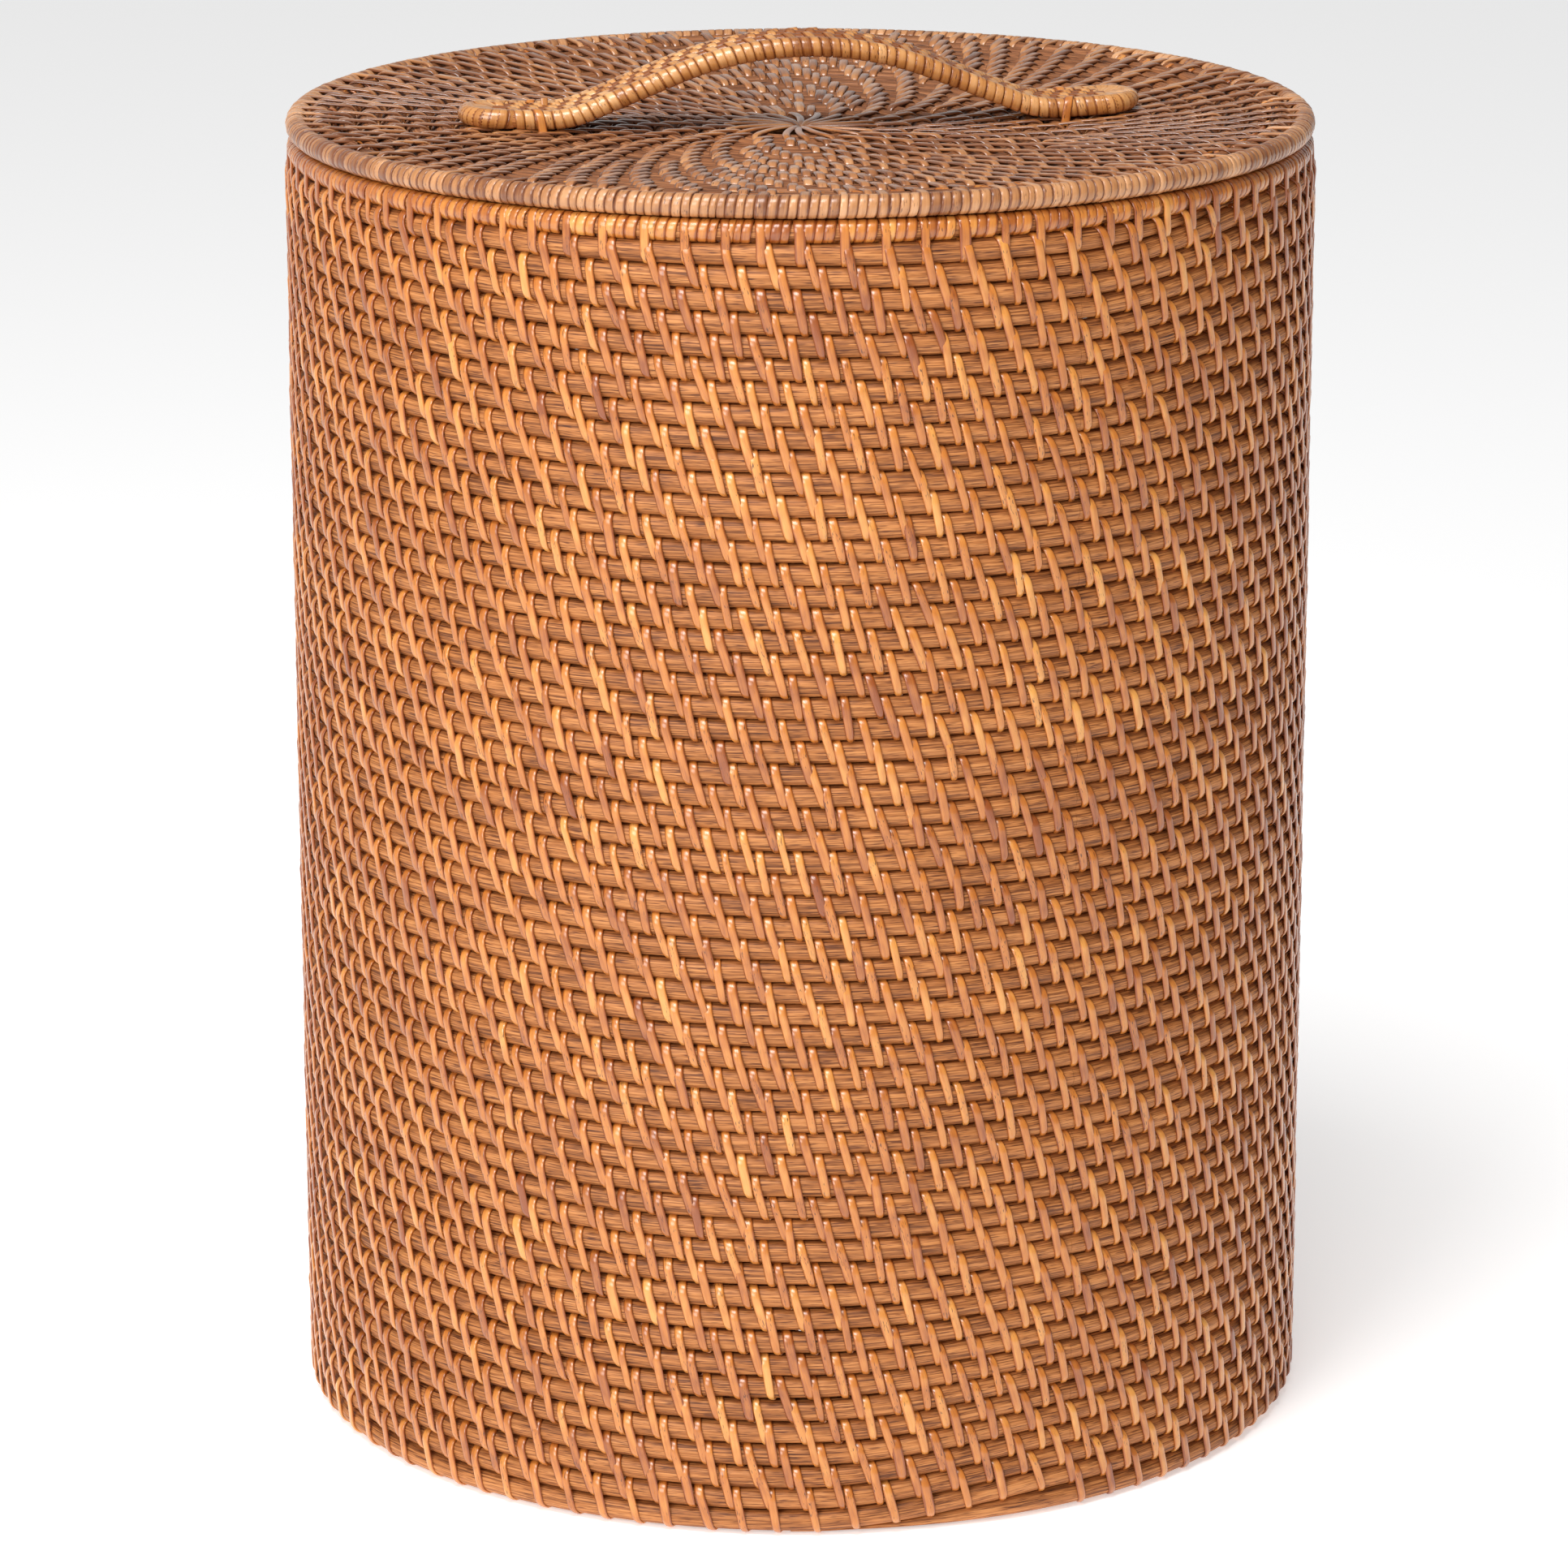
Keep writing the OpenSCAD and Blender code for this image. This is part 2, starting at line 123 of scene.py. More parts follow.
@dataclass
class Sweep:
    """Strips or rods of one cross-section, each swept along its own line.

    Args:
        line: the lines, as (strips, stations, 3).
        out: the way each strip's face looks, of the same shape.
        width: full width of each strip, as (strips, stations) or what spreads to it.
        height: how far the section's 1 stands above the line.
        section: points of the cross-section.
        tone: shade of each strip, about -1 for dark to 1 for light.
        start: length already used up at each strip's first station, for the grain.
        own: a number from 0 to 1 for each strip, which sets its own grain.
    """

    line: Array
    out: Array
    width: Array
    height: Array
    section: Array
    tone: Array
    start: Array | None = None
    own: Array | None = None

    def split(self, name: str) -> list["Part"]:
        """The strips as as few meshes as the triangle limit allows.

        Args:
            name: name of the mesh, followed by a number where there are more.

        Returns:
            The made parts.
        """
        count, stations = self.line.shape[:2]
        ring = len(self.section)
        each = (stations - 1) * ring * 2 + 2 * (ring - 2)
        shares = math.ceil(count * each / MOST_TRIANGLES)
        made = []
        for number, take in enumerate(np.array_split(np.arange(count), shares)):
            label = name if shares == 1 else f"{name}_{number + 1}"
            made.append(Part(label, self.mesh(label, take)))
        return made

    def mesh(self, name: str, take: Array) -> bpy.types.Mesh:
        """One mesh of some of the strips, with grain places and a baking map.

        Args:
            name: name of the mesh.
            take: numbers of the strips in it.

        Returns:
            The mesh.
        """
        line, shape = self.line[take], self.line.shape[:2]
        count, stations = line.shape[:2]
        ring = len(self.section)
        along = unit(np.gradient(line, axis=1))
        side = unit(np.cross(self.out[take], along))
        up = np.cross(along, side)
        width = np.broadcast_to(self.width, shape)[take]
        height = np.broadcast_to(self.height, shape)[take]
        across = self.section[:, 0] * width[..., None] / 2
        points = (line[:, :, None] + side[:, :, None] * across[..., None]
                  + up[:, :, None] * (self.section[:, 1] * height[..., None])[..., None])

        step = np.linalg.norm(np.diff(line, axis=1), axis=-1)
        used = np.concatenate([np.zeros((count, 1)), np.cumsum(step, axis=1)], axis=1)
        if self.start is not None:
            used = used + self.start[take][:, None]
        own = np.zeros(shape[0]) if self.own is None else self.own
        grain = np.empty(points.shape)
        grain[..., 0] = used[..., None]
        grain[..., 1] = self.girth()[None, None] * width[..., None] / 2
        grain[..., 2] = own[take][:, None, None]
        tone = np.broadcast_to(self.tone[take][:, None, None], points.shape[:3])

        number = np.arange(count * stations * ring).reshape(count, stations, ring)
        after = np.roll(number, -1, axis=2)
        quads = np.stack([number[:, :-1], after[:, :-1], after[:, 1:], number[:, 1:]],
                         axis=-1).reshape(-1, 4)
        ends = np.stack([points[:, 0, ::-1], points[:, -1]], axis=1)
        first = number.size
        caps = (first + np.arange(count * 2 * ring)).reshape(-1, ring)
        flat = lambda body, tips: np.concatenate([body.reshape(-1, *body.shape[3:]),
                                                  tips.reshape(-1, *body.shape[3:])])
        both_ends = lambda a: np.stack([a[:, 0, ::-1], a[:, -1]], axis=1)
        mesh = bpy.data.meshes.new(name)
        co = flat(points, ends)
        mesh.vertices.add(len(co))
        mesh.vertices.foreach_set("co", co.astype(np.float32).ravel())
        corners = np.concatenate([quads.ravel(), caps.ravel()])
        mesh.loops.add(len(corners))
        mesh.loops.foreach_set("vertex_index", corners.astype(np.int32))
        starts = np.concatenate([np.arange(len(quads)) * 4,
                                 quads.size + np.arange(len(caps)) * ring])
        mesh.polygons.add(len(starts))
        mesh.polygons.foreach_set("loop_start", starts.astype(np.int32))
        mesh.polygons.foreach_set("use_smooth", np.ones(len(starts), bool))
        mesh.attributes.new("grain", "FLOAT_VECTOR", "POINT").data.foreach_set(
            "vector", flat(grain, both_ends(grain)).astype(np.float32).ravel())
        mesh.attributes.new("tone", "FLOAT", "POINT").data.foreach_set(
            "value", flat(tone, both_ends(tone)).astype(np.float32).ravel())
        mesh.uv_layers.new(name="OFBake").data.foreach_set(
            "uv", self.places(count, stations, used, width).astype(np.float32).ravel())
        mesh.update(calc_edges=True)
        return mesh

    def girth(self) -> Array:
        """How far round the section each point is, from -1 to 1, half a turn from the seam."""
        step = np.linalg.norm(np.diff(self.section, axis=0, append=self.section[:1]), axis=1)
        round_it = np.cumsum(np.concatenate([[0], step[:-1]]))
        if abs(self.section[:, 1].min() + 1) < 0.1:
            return round_it - step.sum() / 2
        return self.section[:, 0]

    def places(self, count: int, stations: int, used: Array, width: Array) -> Array:
        """The baking map: each strip laid flat in its own cell of a grid.

        Args:
            count: number of strips in the mesh.
            stations: number of stations on each.
            used: length along each strip, as (strips, stations).
            width: width of each strip, as (strips, stations).

        Returns:
            A place for each face corner, quads first and then the end faces.
        """
        ring = len(self.section)
        length = float(np.mean(used[:, -1] - used[:, 0]))
        columns = max(1, round(math.sqrt(count * 3 * float(width.mean()) / length)))
        rows = math.ceil(count / columns)
        cell = np.stack([np.arange(count) % columns, np.arange(count) // columns], axis=-1)
        s = np.linspace(0.06, 0.94, stations)
        k = np.linspace(0.04, 0.96, ring + 1)
        s0, k0 = np.meshgrid(s[:-1], k[:-1], indexing="ij")
        s1, k1 = np.meshgrid(s[1:], k[1:], indexing="ij")
        quad = np.stack([np.stack([s0, k0], -1), np.stack([s0, k1], -1),
                         np.stack([s1, k1], -1), np.stack([s1, k0], -1)], axis=2)
        angle = np.arange(ring) / ring * TURN
        disc = np.stack([0.018 * np.cos(angle), 0.4 * np.sin(angle)], axis=-1)
        tips = np.stack([disc + (0.025, 0.5), disc + (0.975, 0.5)])
        grid = np.array([columns, rows])
        body = (quad[None] + cell[:, None, None, None]) / grid
        caps = (tips[None] + cell[:, None, None]) / grid
        return np.concatenate([body.reshape(-1, 2), caps.reshape(-1, 2)])


@dataclass
class Part:
    """One made mesh, on its way to being a shown piece."""

    name: str
    mesh: bpy.types.Mesh

    def show(self, body: str, slot: str, finish: bpy.types.Material,
             stands_for: tuple[str, ...]) -> bpy.types.Object:
        """Puts the mesh in the scene as a piece of the basket.

        Args:
            body: the frame's body that it rides on.
            slot: the record's material slot; not used.
            finish: its material.
            stands_for: the frame's nodes that it replaces.

        Returns:
            The new object.
        """
        piece = bpy.data.objects.new(self.name, self.mesh)
        bpy.context.scene.collection.objects.link(piece)
        self.mesh.materials.append(finish)
        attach(piece, body)
        if stands_for:
            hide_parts(*stands_for)
        log.info("%s: %d faces on %s", self.name, len(self.mesh.polygons), body)
        return piece


# ------------------------------------------------------------------- finishes


def linear(colour: str, alpha: float = 1.0) -> tuple[float, float, float, float]:
    """A linear colour from an sRGB hex string such as "#c08040"."""
    parts = [int(colour[i:i + 2], 16) / 255 for i in (1, 3, 5)]
    r, g, b = [c / 12.92 if c <= 0.04045 else ((c + 0.055) / 1.055) ** 2.4 for c in parts]
    return r, g, b, alpha


def add(tree: bpy.types.NodeTree, kind: str, inputs: dict | None = None,
        **settings) -> bpy.types.Node:
    """Adds a node with its settings and links.

    Args:
        tree: the node tree.
        kind: the node's type, without "ShaderNode".
        inputs: for each input, by name or number, a socket to link or a value to set.
        settings: properties of the node itself.

    Returns:
        The new node.
    """
    made = tree.nodes.new("ShaderNode" + kind)
    for key, value in settings.items():
        setattr(made, key, value)
    for key, value in (inputs or {}).items():
        if isinstance(value, bpy.types.NodeSocket):
            tree.links.new(value, made.inputs[key])
        else:
            made.inputs[key].default_value = value
    return made


def ramp(tree: bpy.types.NodeTree, factor: bpy.types.NodeSocket,
         stops: dict[float, str]) -> bpy.types.NodeSocket:
    """A colour that goes through the given hex colours as the factor rises.

    Args:
        tree: the node tree.
        factor: what drives it.
        stops: the colour at each place from 0 to 1.

    Returns:
        The colour socket.
    """
    made = add(tree, "ValToRGB", {"Fac": factor})
    elements = made.color_ramp.elements
    while len(elements) < len(stops):
        elements.new(0.5)
    for element, (place, colour) in zip(elements, sorted(stops.items())):
        element.position = place
        element.color = linear(colour)
    return made.outputs["Color"]


def sum_up(tree: bpy.types.NodeTree, kind: str, a: bpy.types.NodeSocket | float,
           b: bpy.types.NodeSocket | float, clamp: bool = False) -> bpy.types.NodeSocket:
    """One step of arithmetic on two sockets or numbers."""
    return add(tree, "Math", {0: a, 1: b}, operation=kind, use_clamp=clamp).outputs[0]


def fibres(tree: bpy.types.NodeTree, long: float, fine: float, seed: float,
           detail: float = 2.0) -> bpy.types.NodeSocket:
    """Streaks that run along the strip, each strip with its own.

    Args:
        tree: the node tree.
        long: length of a streak.
        fine: width of a streak.
        seed: which streaks, so that several kinds can lie over each other.
        detail: how much finer the streaks break up.

    Returns:
        A factor of about 0.2 to 0.8.
    """
    grain = add(tree, "Attribute", attribute_name="grain").outputs["Vector"]
    scaled = add(tree, "VectorMath", {0: grain, 1: (1 / long, 1 / fine, 137.0)},
                 operation="MULTIPLY").outputs[0]
    placed = add(tree, "VectorMath", {0: scaled, 1: (seed, seed * 1.7, seed * 0.3)},
                 operation="ADD").outputs[0]
    return add(tree, "TexNoise", {"Vector": placed, "Scale": 1.0, "Detail": detail,
                                  "Roughness": 0.6}).outputs["Fac"]


@dataclass(frozen=True)
class SplitPeel:
    """Split rattan peel: the cane's hard outer skin, split off, shaved flat and oiled.

    The skin keeps its natural gloss over fine lengthwise fibres, and each strip has its
    own shade, with dark flecks where the leaf sheath held on. Its long edges are darkened
    with painted shade, for the shadow in the seams between strips.
    """

    name: str
    pale: str
    middle: str
    deep: str
    fleck: str
    roughness: float
    gloss: float

    FIBRE_LONG = 14 * MM
    FIBRE_FINE = 0.42 * MM
    FLECK_LONG = 2.6 * MM
    FLECK_FINE = 0.55 * MM
    SHADE_LONG = 9 * MM

    def material(self) -> bpy.types.Material:
        """Makes the material."""
        made = bpy.data.materials.new(self.name)
        made.use_nodes = True
        tree = made.node_tree
        shader = tree.nodes["Principled BSDF"]
        streak = fibres(tree, self.FIBRE_LONG, self.FIBRE_FINE, 3.0)
        cloudy = fibres(tree, self.SHADE_LONG, 4 * MM, 11.0, 1.0)
        tone = add(tree, "Attribute", attribute_name="tone").outputs["Fac"]
        shade = sum_up(tree, "MULTIPLY_ADD", tone, 0.5)
        shade.node.inputs[2].default_value = 0.5
        shade = sum_up(tree, "ADD", shade, sum_up(tree, "MULTIPLY", sum_up(
            tree, "SUBTRACT", streak, 0.5), 0.55))
        shade = sum_up(tree, "ADD", shade, sum_up(tree, "MULTIPLY", sum_up(
            tree, "SUBTRACT", cloudy, 0.5), 0.8), clamp=True)
        # Painted shade: darker towards each strip's long edges, for the shadow in the seams
        # between neighbouring strips.
        across = add(tree, "SeparateXYZ", {0: add(
            tree, "Attribute", attribute_name="grain").outputs["Vector"]}).outputs[1]
        edge = add(tree, "MapRange", {
            "Value": sum_up(tree, "ABSOLUTE", across, 0.0), "From Min": 1.2 * MM,
            "From Max": 1.95 * MM, "To Max": 0.6}).outputs[0]
        shade = sum_up(tree, "SUBTRACT", shade, edge, clamp=True)
        colour = ramp(tree, shade, {0.0: self.deep, 0.5: self.middle, 1.0: self.pale})
        spots = fibres(tree, self.FLECK_LONG, self.FLECK_FINE, 23.0, 1.0)
        patches = fibres(tree, 22 * MM, 30 * MM, 31.0, 0.0)
        spotted = sum_up(tree, "MULTIPLY", add(tree, "MapRange", {
            "Value": spots, "From Min": 0.62, "From Max": 0.70}).outputs[0],
            add(tree, "MapRange", {"Value": patches, "From Min": 0.46,
                                   "From Max": 0.60}).outputs[0])
        worn = add(tree, "Mix", {"Factor": sum_up(tree, "MULTIPLY", spotted, 0.8),
                                 "A": colour, "B": linear(self.fleck)}, data_type="RGBA",
                   blend_type="MIX")
        tree.links.new(worn.outputs["Result"], shader.inputs["Base Color"])
        rough = add(tree, "MapRange", {"Value": streak, "From Min": 0.3, "From Max": 0.7,
                                       "To Min": self.roughness + 0.08,
                                       "To Max": self.roughness - 0.05}).outputs[0]
        tree.links.new(rough, shader.inputs["Roughness"])
        shader.inputs["IOR"].default_value = 1.5
        shader.inputs["Coat Weight"].default_value = self.gloss
        shader.inputs["Coat Roughness"].default_value = 0.22
        bump = add(tree, "Bump", {"Height": streak, "Strength": 0.35, "Distance": 0.12 * MM})
        tree.links.new(bump.outputs["Normal"], shader.inputs["Normal"])
        return made


@dataclass(frozen=True)
class PeeledCore:
    """Round rattan core: the cane's pith, drawn through a die to a round rod and stained.

    With the skin gone it is matt, with open pores in long dark and light fibres, and
    darker rings where the cane had its joints.
    """

    name: str
    pale: str
    middle: str
    deep: str
    roughness: float

    FIBRE_LONG = 26 * MM
    FIBRE_FINE = 0.6 * MM  # real fibres are about 0.3 mm, too fine to show
    PORE_LONG = 9 * MM
    PORE_FINE = 0.5 * MM  # twice the real pores, so that they show

    def material(self) -> bpy.types.Material:
        """Makes the material."""
        made = bpy.data.materials.new(self.name)
        made.use_nodes = True
        tree = made.node_tree
        shader = tree.nodes["Principled BSDF"]
        streak = fibres(tree, self.FIBRE_LONG, self.FIBRE_FINE, 5.0, 3.0)
        pores = fibres(tree, self.PORE_LONG, self.PORE_FINE, 17.0, 1.0)
        cloudy = fibres(tree, 60 * MM, 9 * MM, 29.0, 2.0)
        shade = add(tree, "MapRange", {"Value": streak, "From Min": 0.34, "From Max": 0.64,
                                       "To Min": 0.0, "To Max": 1.0}).outputs[0]
        shade = sum_up(tree, "ADD", shade, sum_up(tree, "MULTIPLY", sum_up(
            tree, "SUBTRACT", cloudy, 0.5), 1.1), clamp=True)
        colour = ramp(tree, shade, {0.0: self.deep, 0.5: self.middle, 1.0: self.pale})
        dark = add(tree, "MapRange", {"Value": pores, "From Min": 0.56, "From Max": 0.66,
                                      "To Max": 0.75}).outputs[0]
        worn = add(tree, "Mix", {"Factor": dark, "A": colour, "B": linear(self.deep)},
                   data_type="RGBA", blend_type="MULTIPLY")
        tree.links.new(worn.outputs["Result"], shader.inputs["Base Color"])
        shader.inputs["Roughness"].default_value = self.roughness
        shader.inputs["IOR"].default_value = 1.45
        bump = add(tree, "Bump", {"Height": streak, "Strength": 0.5, "Distance": 0.15 * MM})
        tree.links.new(bump.outputs["Normal"], shader.inputs["Normal"])
        return made


# ---------------------------------------------------------------- the coiling


@dataclass(frozen=True)
class Rise:
    """How a coil climbs from course to course as it goes round.

    A coil climbs evenly, except where it leaves a level course or ends under one: there
    it climbs over its own tapered end within a short part of the turn, and each
    further course spreads the climb out a little more.

    Args:
        turns: whole turns of the coil.
        splice: part of a turn in which the end tapers.
        settle: courses over which the climb spreads out.
        level_start: whether it starts on a level course.
        spliced_end: whether it ends under a level course.
    """

    turns: int
    splice: float
    settle: int
    level_start: bool = True
    spliced_end: bool = True

    def at(self, t: Array) -> Array:
        """Courses climbed after t turns."""
        t = np.asarray(t, float)
        course = np.floor(np.clip(t, 0, self.turns - 1e-9))
        part = np.clip(t, 0, self.turns) - course
        late = ease((part - 1 + self.splice) / self.splice)
        early = ease(part / self.splice)
        start_even = ease((course + 1) / self.settle) if self.level_start else 1.0
        end_even = ease((self.turns - course) / self.settle) if self.spliced_end else 1.0
        low = start_even * part + (1 - start_even) * late
        high = end_even * part + (1 - end_even) * early
        climbed = course + np.where(course < self.turns / 2, low, high)
        head = ease((t + self.splice) / self.splice) if self.level_start else 1.0
        climbed = np.where(t < 0, (head - 1) / 2 if self.level_start else t, climbed)
        tail = ease((t - self.turns) / self.splice)
        return np.where(t > self.turns, self.turns + tail / 2, climbed)

    def thickness(self, t: Array) -> Array:
        """Part of its full thickness that the rod has after t turns."""
        head = ease((t + self.splice) / self.splice) if self.level_start else 1.0
        tail = 1 - ease((t - self.turns) / self.splice) if self.spliced_end else 1.0
        return np.clip(np.minimum(head, tail), 0.12, 1.0)


@dataclass
class Coil:
    """A rod coiled round and sewn to the course before it, as a wall or a flat disc.

    A cross-section of the coiling has two directions: "on", from course to course, and
    "out", towards the face that is looked at. A wall goes on upwards and faces outwards;
    a disc goes on outwards and faces up or down.

    Args:
        name: its name; not used.
        body: the frame's body.
        rise: how it climbs.
        pitch: distance from course to course.
        rod: radius of the rod.
        peel: thickness of the stitching.
        seam: angle round the basket where turns are counted from.
    """

    name: str
    body: str
    rise: Rise
    pitch: float
    rod: float
    peel: float
    seam: float

    SIDES = 12
    STATIONS_A_TURN = 180
    TUCKED = 104  # degrees round the rod at which a stitch's two ends are out of sight

    def where(self, t: Array, on: Array, out: Array) -> Array:
        """A point beside the rod's middle line.

        Args:
            t: turns from the seam.
            on: distance towards the next course.
            out: distance towards the outer face.

        Returns:
            The points.
        """
        raise NotImplementedError

    def unevenness(self, t: Array) -> tuple[Array, Array]:
        """How far the rod strays on and out from its even line."""
        return (0.10 * MM * wander(np.asarray(t) * 21, 41),
                0.25 * MM * wander(np.asarray(t) * 17, 43))

    def rods(self) -> Sweep:
        """The coiled rod, as one stretch to a turn."""
        first = -self.rise.splice if self.rise.level_start else 0.45
        last = self.rise.turns + (self.rise.splice if self.rise.spliced_end else 0)
        cuts = np.concatenate([[first], np.arange(1, self.rise.turns + 1), [last]])
        spans = list(zip(cuts[:-1], cuts[1:]))
        t = np.stack([np.linspace(a, b, self.STATIONS_A_TURN + 1) for a, b in spans])
        on, out = self.unevenness(t)
        line = self.where(t, on, out)
        facing = self.where(t, on + self.rod, out) - line
        length = np.linalg.norm(np.diff(line, axis=1), axis=-1).sum(axis=1)
        thick = (self.rod + SWELL) * self.rise.thickness(t)
        return Sweep(line, facing, 2 * thick, thick, round_section(self.SIDES),
                     np.zeros(len(spans)), start=np.cumsum(length) - length)

    def over_two(self, top: Array, lean: Array, face: int,
                 stations: int) -> tuple[Array, Array]:
        """Stitch lines over a course and the one before it.

        Args:
            top: turns at which each stitch comes out past its later course.
            lean: turns that it drifts before it goes in again.
            face: 1 on the outer face and -1 on the other.
            stations: number of points on each half.

        Returns:
            The lines and the way that they face.
        """
        bend = np.radians(np.linspace(self.TUCKED, 0, stations))
        most, straight = bend.max(), self.pitch / self.rod
        on = (self.rod + SWELL) * np.concatenate([np.sin(bend), -np.sin(bend[::-1])])
        out = (self.rod + SWELL) * np.concatenate([np.cos(bend), np.cos(bend[::-1])])
        later = np.repeat([0, 1], stations)
        run = np.concatenate([most - bend, straight + most + bend[::-1]])
        run = run / run.max()
        t = top[:, None] - later[None]
        drift = lean[:, None] * run[None]
        stray_on, stray_out = self.unevenness(t)
        stray_out = stray_out + face * LAPPED * (1 - later[None])
        line = self.where(t + drift, on[None] + stray_on, face * out[None] + stray_out)
        faces = np.stack([np.sin(bend), np.cos(bend)], axis=-1)
        faces = np.concatenate([faces, faces[::-1] * (-1, 1)])
        ahead = self.where(t + drift, on[None] + stray_on + faces[:, 0] * MM,
                           face * (out[None] + faces[:, 1] * MM) + stray_out)
        return line, unit(ahead - line)

    def outer_stitches(self, top: Array, lean: Array, rng: np.random.Generator,
                       peel: float, stations: int = 7) -> Sweep:
        """Stitches on the coil's outer face, each over two courses.

        Args:
            top: turns at which each comes out.
            lean: turns that it drifts before it goes in again.
            rng: source of the unevenness.
            peel: width of the peel.
            stations: number of points on each half of a stitch.

        Returns:
            The stitches.
        """
        line, facing = self.over_two(top, lean, 1, stations)
        return self.sewn(line, facing, rng, peel, Profile.PEEL.points())

    def inner_stitches(self, top: Array, lean: Array, rng: np.random.Generator,
                       peel: float, stations: int = 5) -> Sweep:
        """The same strips on the coil's other face, where each runs on to the next stitch."""
        onward, back = top[1:], top[:-1] + lean[:-1] - top[1:]
        keep = back > -0.06
        line, facing = self.over_two(onward[keep], back[keep], -1, stations)
        return self.sewn(line, facing, rng, peel, Profile.PLAIN_PEEL.points())

    def sewn(self, line: Array, facing: Array, rng: np.random.Generator, peel: float,
             section: Array) -> Sweep:
        """Gives stitch lines their width, thickness and shade."""
        count, stations = line.shape[:2]
        run = np.linspace(0, 1, stations)
        # It starts nearly at full width, and narrows where it goes in beside the next one.
        taper = 0.85 + 0.15 * ease(run / 0.15) - 0.42 * ease((run - 0.45) / 0.55)
        width = peel * rng.normal(1, 0.08, count).clip(0.78, 1.2)[:, None] * taper[None]
        height = self.peel * rng.normal(1, 0.07, count).clip(0.8, 1.12)[:, None]
        shade = shades(count, rng)
        return Sweep(line, facing, width, height * np.ones(stations), section, shade,
                     own=rng.random(count))


def shades(count: int, rng: np.random.Generator) -> Array:
    """Shade of each strip: neighbours come from one length of peel and are alike."""
    drift = np.convolve(rng.normal(0, 1, count + 24), np.ones(9) / 3.0, "same")[12:-12]
    odd = np.where(rng.random(count) < 0.05, rng.choice([-0.6, -0.45, 0.5], count), 0)
    return (0.20 * drift + rng.normal(0, 0.22, count) + odd).clip(-1.1, 0.9)


@dataclass
class Wall(Coil):
    """The basket's wall: a coil that goes on upwards.

    Args:
        radius: distance of the rod's middle from the axis.
        foot: height of the lowest course.
    """

    radius: float = 0.0
    foot: float = 0.0

    STITCHES = 88  # whole stitches in a turn
    SHIFT = 6.1 * MM  # what is left of the turn after them: one row's step to the side
    PEEL_WIDE = 3.9 * MM
    LEAN = 6.1 * MM

    def where(self, t: Array, on: Array, out: Array) -> Array:
        """A point beside the rod's middle line, on being up."""
        return around(self.seam + TURN * np.asarray(t), self.radius + out,
                      self.foot + self.pitch * self.rise.at(t) + on)

    def tops(self, rng: np.random.Generator) -> tuple[Array, Array]:
        """Where each stitch starts, and how far it leans, in turns."""
        girth = TURN * self.radius
        step = (1 - self.SHIFT / girth) / self.STITCHES
        count = int((self.rise.turns - 1 + self.rise.splice * 0.7) / step)
        place = 1 + np.arange(count) * step
        angle = (place % 1) * TURN
        sway = np.sin(3 * angle + 0.09 * place * TURN) + np.sin(5 * angle - 0.31 * place + 2)
        shift = (1.1 * sway + rng.normal(0, 0.45, count)) * MM / girth
        lean = self.LEAN * rng.normal(1, 0.16, count).clip(0.5, 1.5) / girth
        return place + shift, lean


